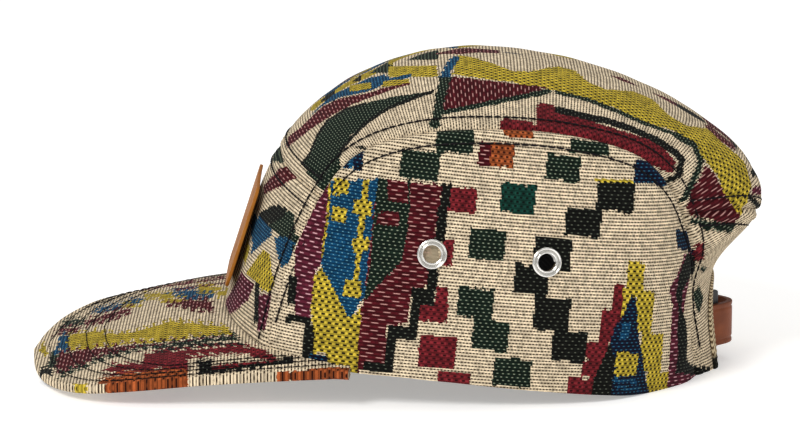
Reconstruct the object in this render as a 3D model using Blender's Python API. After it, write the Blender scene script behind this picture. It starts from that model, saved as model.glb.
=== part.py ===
"""Five-panel cap, standing on its hem and the tip of its brim.

Metres, +Z up. The brim points to -X and the wearer's left side faces -Y.
The crown is one smooth form that is cut into five cloth panels: the front, top and back
panels follow each other along the middle of the head, and a side panel hangs on either
side of them. All of them are worked out from SECTIONS, a row for each section along the
seam between the middle panels and a side panel.
"""

import math

import bmesh
import bpy
import numpy as np
from mathutils import Matrix, Vector
from mathutils.bvhtree import BVHTree

MM = 0.001

# Crown
CROWN_LENGTH = 198.5 * MM
CROWN_HEIGHT = 115.5 * MM
HEM_WIDTH = 152.0 * MM
SIDE_FULLNESS = 7.0 * MM
FULL_DROP = 0.75
CLOTH_WALL = 1.6 * MM
SEAM_GAP = 0.4 * MM
BACK_GROOVE = 3.6 * MM
BACK_FLATNESS = 1.0

# Opening at the back, in the lower end of the back panel
OPENING_WIDTH = 28.0 * MM
OPENING_HEIGHT = 31.0 * MM
BINDING_WIDTH = 4.0 * MM
BINDING_WALL = 2.2 * MM

# Brim
BRIM_LENGTH = 68.5 * MM
BRIM_DEPTH = 117.0 * MM
BRIM_OVERHANG = 2.5 * MM
BRIM_WIDTH = HEM_WIDTH + 2 * BRIM_OVERHANG
BRIM_RISE = 10.6 * MM
BRIM_WALL = 3.6 * MM
BRIM_FULLNESS = 1.2 * MM
BRIM_LAP = 2.6 * MM
BRIM_CLEARANCE = 0.7 * MM

# Sweatband
BAND_HEIGHT = 24.0 * MM
BAND_WALL = 1.0 * MM
BAND_DROP = 1.3 * MM
BAND_LIFT = 1.0 * MM
BAND_LEAN = 1.0 * MM
BAND_SHORT = 0.2

# Leather patch on the front panel
PATCH_WIDTH = 48.0 * MM
PATCH_HEIGHT = 40.0 * MM
PATCH_WALL = 2.0 * MM
PATCH_CORNER = 4.0 * MM
PATCH_LOW = 31.0 * MM

# Eyelets, two on each side panel
EYELET_OUTER = 10.7 * MM
EYELET_HOLE = 6.2 * MM
EYELET_SPACING = 40.0 * MM
EYELET_FRONT_X = 78.0 * MM
EYELET_HEIGHT = 55.7 * MM
EYELET_FALL = 3.5 * MM
EYELET_BARREL_WALL = 0.6 * MM
EYELET_FACE = 1.0 * MM
EYELET_BACK = 0.6 * MM
EYELET_CLEARANCE = 0.4 * MM

# Leather strap across the opening, and the plain clasp behind it
STRAP_HEIGHT = 15.4 * MM
STRAP_LOW = 6.5 * MM
STRAP_WALL = 2.2 * MM
STRAP_BOW = 9.5 * MM
STRAP_REACH = 25.0 * MM
STRAP_FREE = 12.6 * MM
CLASP_HEIGHT = 22.0 * MM
CLASP_WALL = 1.6 * MM

# Crown sections, from the front hem over the top to the back hem. Columns: the middle
# line (x, z), the side seam (x, y, z) and the side hem (x, y, z), as shares of the crown's
# length from its front, of half the hem's width and of the crown's height.
SECTIONS = np.array([
    (0.010, 0.173, 0.090, 0.829, 0.147, 0.090, 0.829, 0.147),
    (0.027, 0.312, 0.113, 0.816, 0.307, 0.140, 0.895, 0.140),
    (0.049, 0.442, 0.135, 0.803, 0.429, 0.191, 0.947, 0.128),
    (0.075, 0.576, 0.162, 0.789, 0.537, 0.234, 0.974, 0.118),
    (0.108, 0.680, 0.192, 0.776, 0.636, 0.274, 0.987, 0.111),
    (0.159, 0.779, 0.232, 0.763, 0.734, 0.322, 1.000, 0.106),
    (0.244, 0.890, 0.292, 0.763, 0.802, 0.380, 1.000, 0.095),
    (0.355, 0.968, 0.380, 0.763, 0.840, 0.446, 1.000, 0.083),
    (0.483, 0.998, 0.490, 0.757, 0.848, 0.522, 0.987, 0.066),
    (0.629, 0.961, 0.620, 0.730, 0.829, 0.621, 0.941, 0.043),
    (0.777, 0.874, 0.743, 0.684, 0.771, 0.715, 0.862, 0.021),
    (0.893, 0.755, 0.809, 0.632, 0.679, 0.776, 0.776, 0.007),
    (0.984, 0.619, 0.845, 0.559, 0.545, 0.827, 0.671, 0.000),
    (1.008, 0.494, 0.862, 0.500, 0.416, 0.859, 0.572, 0.000),
    (0.935, 0.312, 0.851, 0.447, 0.258, 0.879, 0.480, 0.000),
    (0.942, 0.000, 0.893, 0.368, 0.000, 0.893, 0.368, 0.000),
])
LAST = len(SECTIONS) - 1
FRONT_SEAM = 4
BACK_SEAM = 12
BACK_SEAM_DIP = 1.2
STATION_STEP = 0.5

# Places along the crown, counted in sections: the back grows flatter across from the
# first, and its groove has its middle, length and width (a share across) here
FLAT_FROM = 10.5
GROOVE_PLACE = 12.7
GROOVE_LONG = 1.1
GROOVE_WIDE = 0.2

# Brim outline from the tip to the rear corner. Columns: distance behind the tip (share of
# the brim's depth), half width (share of half the brim's width), rise of the underside
# (share of the brim's rise) and the place on the crown's lower edge that it faces (0 to 1
# across half the front panel, then one more for each section along the side hem).
BRIM_OUTLINE = np.array([
    (0.000, 0.000, 0.00, 0.00),
    (0.024, 0.331, 0.00, 0.34),
    (0.073, 0.611, 0.08, 0.62),
    (0.171, 0.828, 0.25, 0.86),
    (0.325, 0.917, 0.47, 1.15),
    (0.530, 0.943, 0.71, 1.90),
    (0.752, 0.958, 0.87, 2.80),
    (0.923, 0.981, 0.96, 3.75),
    (1.000, 1.000, 1.00, 4.35),
])

CROWN_FRONT = Vector((BRIM_LENGTH, 0, 0))


def smooth_row(table, place):
    """Row of a table at a fractional place, on a smooth curve through its rows."""
    last = len(table) - 1
    place = min(max(place, 0.0), float(last))
    row = min(int(place), last - 1)
    share = place - row
    before = table[row - 1] if row > 0 else 2 * table[0] - table[1]
    after = table[row + 2] if row + 2 <= last else 2 * table[last] - table[last - 1]
    start, end = table[row], table[row + 1]
    slope_in = (end - before) / 2
    slope_out = (after - start) / 2
    return ((2 * share**3 - 3 * share**2 + 1) * start
            + (share**3 - 2 * share**2 + share) * slope_in
            + (3 * share**2 - 2 * share**3) * end
            + (share**3 - share**2) * slope_out)


def crown_point(x_share, y_share, z_share):
    """Place on the crown from its shares, with the brim's tip at x = 0."""
    return CROWN_FRONT + Vector((x_share * CROWN_LENGTH,
                                 y_share * HEM_WIDTH / 2,
                                 max(z_share, 0.0) * CROWN_HEIGHT))


def middle_surface(place, across):
    """Outer face of the middle panels; across runs from -1 to 1 between the side seams."""
    mid_x, mid_z, seam_x, seam_y, seam_z = smooth_row(SECTIONS, place)[:5]
    bend = abs(across) ** (2 + BACK_FLATNESS / (1 + math.exp(FLAT_FROM - place)))
    point = crown_point(mid_x + (seam_x - mid_x) * bend, seam_y * across,
                        mid_z + (seam_z - mid_z) * bend)
    groove = math.exp(-((place - GROOVE_PLACE) / GROOVE_LONG) ** 2 - (across / GROOVE_WIDE) ** 2)
    point.x -= BACK_GROOVE * groove
    return point


def side_surface(place, down, side):
    """Outer face of a side panel; down runs from 0 at the seam to 1 at the hem."""
    row = smooth_row(SECTIONS, place)
    seam = crown_point(row[2], row[3] * side, row[4])
    hem = crown_point(row[5], row[6] * side, row[7])
    point = seam.lerp(hem, down)
    middle = CROWN_FRONT.x + 0.47 * CROWN_LENGTH
    out = Vector(((point.x - middle) / CROWN_LENGTH**2, point.y / HEM_WIDTH**2, 0)).normalized()
    drop = min((seam - hem).length / (FULL_DROP * CROWN_HEIGHT), 1.0)
    return point + out * SIDE_FULLNESS * math.sin(math.pi * down) * drop


def normal_of(surface, a, b, low_a=-1.0, high_a=99.0, low_b=-2.0, high_b=2.0):
    """Unit normal of a surface from small steps that stay inside its range."""
    step = 0.01
    a0, a1 = max(a - step, low_a), min(a + step, high_a)
    b0, b1 = max(b - step, low_b), min(b + step, high_b)
    along = surface(a1, b) - surface(a0, b)
    across = surface(a, b1) - surface(a, b0)
    return along.cross(across).normalized()


def middle_normal(place, across):
    """Normal of the middle panels, pointing out of the head."""
    return normal_of(middle_surface, place, across, low_a=0.0, high_a=LAST)


def side_normal(place, down, side):
    """Normal of a side panel, pointing out of the head."""
    def face(a, b):
        return side_surface(a, b, side)
    safe = min(max(place, 0.3), LAST - 0.15)
    return normal_of(face, safe, min(max(down, 0.02), 0.98), low_a=0.0,
                     high_a=LAST, low_b=0.0, high_b=1.0) * side


def inward_at_seam(place, side, wall):
    """Step through the wall that both panels share at their seam."""
    first = middle_normal(place, side)
    second = side_normal(place, 0.02, side)
    both = (first + second).normalized()
    return -both * wall / max(both.dot(first), 0.6)


def level(vector, wall):
    """The same step kept level, so that a hem's lower face is flat."""
    flat = Vector((vector.x, vector.y, 0)).normalized()
    return flat * wall


def new_object(name, points, faces, finish):
    """Object of one closed mesh, its faces turned outward."""
    mesh = bpy.data.meshes.new(name)
    mesh.from_pydata([tuple(point) for point in points], [], faces)
    body = bmesh.new()
    body.from_mesh(mesh)
    bmesh.ops.recalc_face_normals(body, faces=body.faces)
    body.to_mesh(mesh)
    body.free()
    mesh.materials.append(finish)
    mesh.shade_smooth()
    mesh.set_sharp_from_angle(angle=math.radians(40))
    obj = bpy.data.objects.new(name, mesh)
    bpy.context.collection.objects.link(obj)
    return obj


def grid_solid(name, outer, inner, finish):
    """Closed wall between two grids of points, with a rim along all four borders."""
    rows, columns = len(outer), len(outer[0])
    points = [point for row in outer for point in row] + [point for row in inner for point in row]
    back = rows * columns

    def at(row, column):
        return row * columns + column

    faces = []
    for row in range(rows - 1):
        for column in range(columns - 1):
            corners = (at(row, column), at(row + 1, column),
                       at(row + 1, column + 1), at(row, column + 1))
            faces.append(corners)
            faces.append(tuple(back + corner for corner in reversed(corners)))
    border = ([at(row, 0) for row in range(rows)]
              + [at(rows - 1, column) for column in range(1, columns)]
              + [at(row, columns - 1) for row in range(rows - 2, -1, -1)]
              + [at(0, column) for column in range(columns - 2, 0, -1)])
    for here, there in zip(border, border[1:] + border[:1]):
        # Both panels at a seam split their twisted rims the same way, outside low to inside high
        if points[here].z < points[there].z:
            faces.append((there, here, back + there))
            faces.append((here, back + here, back + there))
        else:
            faces.append((there, here, back + here))
            faces.append((there, back + here, back + there))
    return new_object(name, points, faces, finish)


def material(name, colour, roughness, metallic=0.0):
    made = bpy.data.materials.new(name)
    made.use_nodes = True
    shader = made.node_tree.nodes["Principled BSDF"]
    shader.inputs["Base Color"].default_value = (*colour, 1.0)
    shader.inputs["Roughness"].default_value = roughness
    shader.inputs["Metallic"].default_value = metallic
    return made


def stations(start, end):
    """Places along the crown, one every half section, with exact ends."""
    count = round((end - start) / STATION_STEP)
    return [start + (end - start) * step / count for step in range(count + 1)]


def edge_share(surface, place, across, size):
    """How much of the across parameter a small size takes, square to the edge at a place."""
    step = 0.02
    inside = across - step if across > 0 else across + step
    inward = surface(place, across) - surface(place, inside)
    along = surface(place + step, across) - surface(place - step, across)
    square = inward - inward.project(along)
    return size * step / square.length


ACROSS = [step / 8 for step in range(-8, 9)]


def middle_grid(place_at, rows, hem_row=None):
    """Outer and inner points of a middle panel whose rows are given by place_at."""
    outer, inner = [], []
    for row in range(rows):
        outer_row, inner_row = [], []
        for across in ACROSS:
            place = place_at(row, across)
            inset = across
            if abs(across) == 1:
                inset = across * (1 - edge_share(middle_surface, place, 1.0, SEAM_GAP / 2))
                step = inward_at_seam(place, across, CLOTH_WALL)
            else:
                step = -middle_normal(place, across) * CLOTH_WALL
            if row == hem_row:
                step = level(step, CLOTH_WALL)
            point = middle_surface(place, inset)
            outer_row.append(point)
            inner_row.append(point + step)
        outer.append(outer_row)
        inner.append(inner_row)
    return outer, inner


def place_step(place, size):
    """How much of the place parameter a small size takes on the middle line."""
    step = 0.02
    return size / ((middle_surface(place + step, 0) - middle_surface(place, 0)).length / step)


def back_seam_place(across):
    """Where the seam between the top and back panels crosses."""
    return BACK_SEAM + BACK_SEAM_DIP * (1 - across * across)


def front_panel(cloth):
    """Nearly flat panel above the brim, as tall as the patch and its margins."""
    places = stations(0, FRONT_SEAM)
    places[-1] -= place_step(FRONT_SEAM, SEAM_GAP / 2)
    outer, inner = middle_grid(lambda row, across: places[row], len(places), hem_row=0)
    return grid_solid("front_panel", outer, inner, cloth)


def top_panel(cloth):
    """Long panel from the front seam over the head to the back seam."""
    shares = stations(FRONT_SEAM, BACK_SEAM)
    front_gap = place_step(FRONT_SEAM, SEAM_GAP / 2)
    back_gap = place_step(BACK_SEAM, SEAM_GAP / 2)

    def place_at(row, across):
        share = (shares[row] - FRONT_SEAM) / (BACK_SEAM - FRONT_SEAM)
        place = FRONT_SEAM + (back_seam_place(across) - FRONT_SEAM) * share
        if row == 0:
            place += front_gap
        if row == len(shares) - 1:
            place -= back_gap
        return place

    outer, inner = middle_grid(place_at, len(shares))
    return grid_solid("top_panel", outer, inner, cloth)


def opening_curve(turn, margin):
    """Place and across of the opening's edge; turn runs 0 to 1 from hem to hem."""
    angle = math.pi * turn
    seam_half = SECTIONS[LAST][3] * HEM_WIDTH / 2
    half = (OPENING_WIDTH / 2 + margin) / seam_half
    middle_rise = SECTIONS[LAST - 1][1] * CROWN_HEIGHT
    rise = (OPENING_HEIGHT + margin) / middle_rise
    across = -half * math.copysign(abs(math.cos(angle)) ** 0.7, math.cos(angle))
    return LAST - rise * math.sin(angle) ** 0.8, across


def back_outline(turn_row):
    """Place and across on the back panel's outer border, from hem to hem round the top."""
    legs = round((LAST - BACK_SEAM) / STATION_STEP)
    if turn_row <= legs:
        return LAST - turn_row * STATION_STEP, -1.0
    if turn_row >= legs + len(ACROSS) - 1:
        return BACK_SEAM + (turn_row - legs - len(ACROSS) + 1) * STATION_STEP, 1.0
    across = ACROSS[turn_row - legs]
    return back_seam_place(across) + place_step(BACK_SEAM, SEAM_GAP / 2), across


def turns():
    """Rows round the back panel."""
    legs = round((LAST - BACK_SEAM) / STATION_STEP)
    return 2 * legs + len(ACROSS)


def back_panel(cloth):
    """Panel round the opening, with a leg down to the hem on either side."""
    count = turns()
    columns = 6
    outer, inner = [], []
    for turn_row in range(count):
        place_out, across_out = back_outline(turn_row)
        place_in, across_in = opening_curve(turn_row / (count - 1), BINDING_WIDTH + SEAM_GAP)
        outer_row, inner_row = [], []
        for column in range(columns):
            share = 1 - (1 - column / (columns - 1)) ** 1.5
            place = place_in + (place_out - place_in) * share
            across = across_in + (across_out - across_in) * share
            at_seam = column == columns - 1 and abs(across_out) == 1
            if at_seam:
                step = inward_at_seam(place, across_out, CLOTH_WALL)
                across *= 1 - edge_share(middle_surface, place, 1.0, SEAM_GAP / 2)
            else:
                step = -middle_normal(place, across) * CLOTH_WALL
            if turn_row in (0, count - 1):
                step = level(step, CLOTH_WALL)
            point = middle_surface(place, across)
            outer_row.append(point)
            inner_row.append(point + step)
        outer.append(outer_row)
        inner.append(inner_row)
    return grid_solid("back_panel", outer, inner, cloth)


def opening_binding(cloth):
    """Bound edge round the opening, a little thicker than the panel beside it."""
    count = turns()
    outer, inner = [], []
    for turn_row in range(count):
        outer_row, inner_row = [], []
        for margin in (0.0, BINDING_WIDTH / 2, BINDING_WIDTH):
            place, across = opening_curve(turn_row / (count - 1), margin)
            normal = middle_normal(place, across)
            proud = (BINDING_WALL - CLOTH_WALL) / 2
            lift = normal * proud
            step = -normal * BINDING_WALL
            if turn_row in (0, count - 1):
                lift = level(lift, proud)
                step = level(step, BINDING_WALL)
            point = middle_surface(place, across) + lift
            outer_row.append(point)
            inner_row.append(point + step)
        outer.append(outer_row)
        inner.append(inner_row)
    return grid_solid("opening_binding", outer, inner, cloth)


SIDE_ENDS = (0.08, LAST - 0.07)
DOWN = [0.0, 0.06, 0.16, 0.28, 0.41, 0.54, 0.67, 0.80, 0.91, 1.0]


def side_panel(name, side, cloth):
    """Panel from the long seam down to the hem; it runs to a point at both ends."""
    places = stations(0, LAST)
    places[0], places[-1] = SIDE_ENDS

    def face(place, down):
        return side_surface(place, down, side)

    outer, inner = [], []
    for place in places:
        outer_row, inner_row = [], []
        for down in DOWN:
            inset = down
            at_point = place in SIDE_ENDS
            if down == 0 or at_point:
                inset = max(down, edge_share(face, place, 0.0, SEAM_GAP / 2))
                step = inward_at_seam(place, side, CLOTH_WALL)
            else:
                step = -side_normal(place, down, side) * CLOTH_WALL
            if down == 1 or at_point:
                step = level(step, CLOTH_WALL)
            point = face(place, inset)
            outer_row.append(point)
            inner_row.append(point + step)
        outer.append(outer_row)
        inner.append(inner_row)
    return grid_solid(name, outer, inner, cloth)


def crown_skin():
    """Search tree over the crown's outer face, without seams or the opening."""
    points, faces = [], []

    def add(grid):
        start, columns = len(points), len(grid[0])
        for row in grid:
            points.extend(row)
        for row in range(len(grid) - 1):
            for column in range(columns - 1):
                here = start + row * columns + column
                faces.append((here, here + columns, here + columns + 1, here + 1))

    places = stations(0, LAST)
    add([[middle_surface(place, across) for across in ACROSS] for place in places])
    for side in (-1, 1):
        add([[side_surface(place, down, side) for down in DOWN] for place in places])
    return BVHTree.FromPolygons(points, faces)


def skin_hit(skin, start, direction):
    """Point and outward normal where a line from start meets the crown."""
    point, normal, _, _ = skin.ray_cast(start, direction)
    if normal.dot(direction) < 0:
        normal = -normal
    return point, normal


def lower_edge(place):
    """Crown's lower edge: 0 to 1 across half the front panel, then along the side hem."""
    if place <= 1:
        return middle_surface(0, place), level(middle_normal(0, place), 1.0)
    return side_surface(place - 1, 1, 1), level(side_normal(place - 1, 1.0, 1), 1.0)


def edge_places(end):
    """Places on half the lower edge that match the panels' own points, up to an end."""
    front = [across for across in ACROSS if across >= 0]
    side = [1 + place for place in stations(0, LAST) if 1 + place < end]
    return front + [1 + SIDE_ENDS[0]] + side[1:] + [end]


def brim(cloth):
    """Stiffened brim, ruled from its outline to the crown's lower edge, arched between."""
    columns = 7
    half_facings = edge_places(BRIM_OUTLINE[-1][3])
    facings = [-place for place in reversed(half_facings[1:])] + half_facings
    rows_facing = BRIM_OUTLINE[:, 3]
    top, under = [], []
    for signed in facings:
        facing = abs(signed)
        side = -1 if signed < 0 else 1
        share = float(np.interp(facing, rows_facing, np.arange(len(rows_facing))))
        behind, half, rise, _ = smooth_row(BRIM_OUTLINE, share)
        edge = Vector((behind * BRIM_DEPTH, half * BRIM_WIDTH / 2, max(rise, 0.0) * BRIM_RISE))
        crown, out = lower_edge(facing)
        crown = crown + out * BRIM_CLEARANCE
        crown.z += BRIM_LAP - BRIM_WALL
        top_row, under_row = [], []
        for column in range(columns):
            inward = column / (columns - 1)
            point = edge.lerp(crown, inward)
            point.z += BRIM_FULLNESS * math.sin(math.pi * inward) * (1 - (share / (len(rows_facing) - 1)) ** 2)
            point.y *= side
            under_row.append(point)
            top_row.append(point + Vector((0, 0, BRIM_WALL)))
        top.append(top_row)
        under.append(under_row)
    return grid_solid("brim", top, under, cloth)


def sweatband(skin, tape):
    """Band inside the hem, from one leg of the back panel round the front to the other."""
    half = [lower_edge(place)[0] for place in edge_places(LAST - BAND_SHORT)]
    path = [Vector((p.x, -p.y, p.z)) for p in reversed(half[1:])] + half
    middle = CROWN_FRONT.x + 0.47 * CROWN_LENGTH
    outer, inner = [], []
    for low in path:
        outer_row, inner_row = [], []
        for lift in (0.0, 0.33, 0.67, 1.0):
            height = low.z + BAND_LIFT + lift * (BAND_HEIGHT - BAND_LIFT)
            start = Vector((middle, 0, height))
            toward = Vector((low.x - middle, low.y, 0)).normalized()
            point, normal = skin_hit(skin, start, toward)
            inset = CLOTH_WALL + SEAM_GAP
            if lift == 0:
                point = point - level(normal, inset)
                point.z = max(low.z - BAND_DROP, SEAM_GAP)
            else:
                point = point - normal * (CLOTH_WALL + BAND_LEAN)
            outer_row.append(point)
            inner_row.append(point - level(normal, BAND_WALL))
        outer.append(outer_row)
        inner.append(inner_row)
    return grid_solid("sweatband", outer, inner, tape)


def rounded_plate(name, width, height, wall, corner, finish):
    """Plate with round corners in its own X and Z, its outer face at local y = 0."""
    outline = []
    for quarter, (centre_x, centre_z) in enumerate(((1, 1), (-1, 1), (-1, -1), (1, -1))):
        for step in range(4):
            angle = math.pi / 2 * (quarter + step / 3)
            outline.append((centre_x * (width / 2 - corner) + corner * math.cos(angle),
                            centre_z * (height / 2 - corner) + corner * math.sin(angle)))
    count = len(outline)
    points = [(x, 0.0, z) for x, z in outline] + [(x, wall, z) for x, z in outline]
    faces = [tuple(range(count)), tuple(range(2 * count - 1, count - 1, -1))]
    for here in range(count):
        there = (here + 1) % count
        faces.append((there, here, count + here, count + there))
    return new_object(name, points, faces, finish)


def front_patch(leather):
    """Stiff leather plate that touches the front panel along its middle."""
    def height_place(height):
        low, high = 0.0, float(FRONT_SEAM)
        for _ in range(40):
            middle = (low + high) / 2
            if middle_surface(middle, 0).z < height:
                low = middle
            else:
                high = middle
        return low

    low = middle_surface(height_place(PATCH_LOW), 0)
    high = middle_surface(height_place(PATCH_LOW + PATCH_HEIGHT * 0.97), 0)
    upward = (high - low).normalized()
    outward = Vector((-upward.z, 0, upward.x))
    reach = max((middle_surface(height_place(low.z + (high.z - low.z) * step / 20), 0) - low)
                .dot(outward) for step in range(21))
    centre = low + upward * PATCH_HEIGHT / 2 + outward * (reach + SEAM_GAP + PATCH_WALL)
    plate = rounded_plate("front_patch", PATCH_WIDTH, PATCH_HEIGHT, PATCH_WALL,
                          PATCH_CORNER, leather)
    sideways = Vector((0, -1, 0))
    plate.matrix_world = Matrix.Translation(centre) @ Matrix(
        (sideways, -outward, upward)).transposed().to_4x4()
    return plate


def eyelet_sites(skin, side):
    """Centre and axis of the eyelets on one side."""
    sites = []
    for number in range(2):
        start = Vector((CROWN_FRONT.x + EYELET_FRONT_X + number * EYELET_SPACING, 0,
                        EYELET_HEIGHT - number * EYELET_FALL))
        sites.append(skin_hit(skin, start, Vector((0, side, 0))))
    return sites


def turned(name, profile, centre, axis, finish, sides=16):
    """Closed ring from a profile of radius and height, turned about an axis."""
    count = len(profile)
    points, faces = [], []
    for turn in range(sides):
        angle = 2 * math.pi * turn / sides
        for radius, height in profile:
            points.append((radius * math.cos(angle), radius * math.sin(angle), height))
    for turn in range(sides):
        following = (turn + 1) % sides
        for here in range(count):
            there = (here + 1) % count
            faces.append((turn * count + here, following * count + here,
                          following * count + there, turn * count + there))
    ring = new_object(name, points, faces, finish)
    ring.matrix_world = Matrix.Translation(centre) @ axis.to_track_quat("Z", "Y").to_matrix().to_4x4()
    return ring


def eyelet(name, centre, axis, steel):
    """Metal ring with a face outside the cloth, a barrel through it and a back inside."""
    bore = EYELET_HOLE / 2
    rim = EYELET_OUTER / 2
    barrel = bore + EYELET_BARREL_WALL
    face = EYELET_CLEARANCE
    back = -CLOTH_WALL - EYELET_CLEARANCE
    profile = [
        (bore, back - EYELET_BACK),
        (rim, back - EYELET_BACK),
        (rim, back),
        (barrel, back),
        (barrel, face),
        (rim, face),
        (rim, face + EYELET_FACE * 0.4),
        ((rim + bore) / 2, face + EYELET_FACE),
        (bore, face + EYELET_FACE * 0.6),
    ]
    return turned(name, profile, centre, axis, steel)


def cut_hole(panel, name, centre, axis):
    """Hole through a side panel for an eyelet's barrel."""
    radius = EYELET_HOLE / 2 + EYELET_BARREL_WALL + EYELET_CLEARANCE
    depth = 4 * CLOTH_WALL
    profile_points, faces, sides = [], [], 16
    for height in (-depth, depth):
        for turn in range(sides):
            angle = 2 * math.pi * turn / sides
            profile_points.append((radius * math.cos(angle), radius * math.sin(angle), height))
    faces.append(tuple(range(sides - 1, -1, -1)))
    faces.append(tuple(range(sides, 2 * sides)))
    for here in range(sides):
        there = (here + 1) % sides
        faces.append((here, there, sides + there, sides + here))
    cutter = new_object(name, profile_points, faces, panel.data.materials[0])
    cutter.matrix_world = Matrix.Translation(centre) @ axis.to_track_quat("Z", "Y").to_matrix().to_4x4()
    cutter.hide_render = True
    cutter.display_type = "WIRE"
    cut = panel.modifiers.new(name, "BOOLEAN")
    cut.operation = "DIFFERENCE"
    cut.solver = "EXACT"
    cut.object = cutter
    return cutter


def strap_path(skin):
    """Outer face of the strap in plan, as points from -Y to +Y, clear of the wall."""
    heights = [STRAP_LOW + STRAP_HEIGHT * step / 4 for step in range(5)]

    def wall_x(across):
        found = []
        for height in heights:
            start = Vector((CROWN_FRONT.x + CROWN_LENGTH / 2, across, height))
            point, normal = skin_hit(skin, start, Vector((1, 0, 0)))
            found.append(point.x - (BINDING_WALL + SEAM_GAP) / normal.x)
        return min(found)

    steps = 24
    points = []
    for step in range(-steps, steps + 1):
        across = STRAP_REACH * step / steps
        x = wall_x(math.copysign(max(abs(across), STRAP_FREE), across))
        if abs(across) < STRAP_FREE:
            x += STRAP_BOW * (1 - (across / STRAP_FREE) ** 2) ** 1.25
        points.append(Vector((x, across, 0)))
    return points


def plan_offset(points, size):
    """Points of a plan curve moved inward, square to the curve."""
    moved = []
    for number, point in enumerate(points):
        before = points[max(number - 1, 0)]
        after = points[min(number + 1, len(points) - 1)]
        along = (after - before)
        along.z = 0
        along.normalize()
        moved.append(point + Vector((-along.y, along.x, 0)) * size)
    return moved


def back_strap(skin, leather):
    """Leather band across the opening, its ends inside the legs of the back panel."""
    outer, inner = [], []
    middle = strap_path(skin)
    for share in (0.0, 0.5, 1.0):
        row = [Vector((p.x, p.y, STRAP_LOW + STRAP_HEIGHT * share)) for p in middle]
        outer.append(row)
        inner.append(plan_offset(row, STRAP_WALL))
    return grid_solid("back_strap", outer, inner, leather)


def strap_clasp(skin, finish):
    """Plain plate behind the strap that holds its two ends together."""
    middle = strap_path(skin)
    face = plan_offset(middle, STRAP_WALL + SEAM_GAP)
    plate = [point for point in face if -1.2 * STRAP_FREE < point.y < -0.55 * STRAP_FREE]
    low = STRAP_LOW - (CLASP_HEIGHT - STRAP_HEIGHT) / 4
    outer, inner = [], []
    for share in (0.0, 1.0):
        row = [Vector((p.x, p.y, low + CLASP_HEIGHT * share)) for p in plate]
        outer.append(row)
        inner.append(plan_offset(row, CLASP_WALL))
    return grid_solid("strap_clasp", outer, inner, finish)


def build():
    """Make every piece, and set the whole cap's origin below the middle of its box."""
    for old in list(bpy.data.objects):
        bpy.data.objects.remove(old, do_unlink=True)

    cloth = material("jacquard_cotton", (0.68, 0.57, 0.39), 0.9)
    trim_cloth = material("binding_cotton", (0.62, 0.52, 0.36), 0.9)
    tape = material("sweatband_twill", (0.02, 0.02, 0.02), 0.85)
    patch_leather = material("mustard_leather", (0.43, 0.16, 0.02), 0.55)
    strap_leather = material("brown_leather", (0.19, 0.05, 0.016), 0.5)
    steel = material("polished_steel", (0.75, 0.75, 0.74), 0.18, 1.0)
    black = material("black_plastic", (0.02, 0.02, 0.02), 0.4)

    skin = crown_skin()
    pieces = [
        front_panel(cloth),
        top_panel(cloth),
        back_panel(cloth),
        opening_binding(trim_cloth),
        brim(cloth),
        sweatband(skin, tape),
        front_patch(patch_leather),
        back_strap(skin, strap_leather),
        strap_clasp(skin, black),
    ]
    for side, side_name in ((-1, "left"), (1, "right")):
        panel = side_panel(f"side_panel_{side_name}", side, cloth)
        pieces.append(panel)
        for number, (centre, axis) in enumerate(eyelet_sites(skin, side), start=1):
            pieces.append(cut_hole(panel, f"hole_{side_name}_{number}", centre, axis))
            pieces.append(eyelet(f"eyelet_{side_name}_{number}", centre, axis, steel))

    bpy.context.view_layer.update()
    corners = [obj.matrix_world @ vertex.co for obj in pieces if not obj.hide_render
               for vertex in obj.data.vertices]
    low = Vector([min(corner[axis] for corner in corners) for axis in range(3)])
    high = Vector([max(corner[axis] for corner in corners) for axis in range(3)])
    cap = bpy.data.objects.new("cap", None)
    bpy.context.collection.objects.link(cap)
    for piece in pieces:
        piece.parent = cap
    cap.location = (-(low.x + high.x) / 2, -(low.y + high.y) / 2, -low.z)


build()
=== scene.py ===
import math

import bpy
import numpy as np
from mathutils import Matrix, Vector
from mathutils.kdtree import KDTree


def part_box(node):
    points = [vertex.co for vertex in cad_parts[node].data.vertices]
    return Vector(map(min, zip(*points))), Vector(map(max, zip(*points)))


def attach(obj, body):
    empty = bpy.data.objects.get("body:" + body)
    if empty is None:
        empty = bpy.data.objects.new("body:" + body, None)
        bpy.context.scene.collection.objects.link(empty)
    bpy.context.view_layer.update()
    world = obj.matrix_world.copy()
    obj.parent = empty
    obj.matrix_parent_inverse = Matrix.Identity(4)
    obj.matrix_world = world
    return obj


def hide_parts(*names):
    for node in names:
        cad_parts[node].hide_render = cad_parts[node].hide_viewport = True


# Five-panel cap in jacquard cloth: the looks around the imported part.
# Metres, +Z up. The brim points to -X and the camera looks along +Y at the wearer's left side.
# Points are numpy arrays with x, y, z in their last place.

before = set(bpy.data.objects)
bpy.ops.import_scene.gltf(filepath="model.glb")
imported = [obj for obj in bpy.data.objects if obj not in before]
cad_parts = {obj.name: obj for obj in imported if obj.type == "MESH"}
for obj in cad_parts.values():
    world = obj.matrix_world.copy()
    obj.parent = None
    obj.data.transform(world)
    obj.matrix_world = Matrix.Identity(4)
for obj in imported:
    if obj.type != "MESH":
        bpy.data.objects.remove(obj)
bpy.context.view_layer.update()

MM = 0.001

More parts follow.
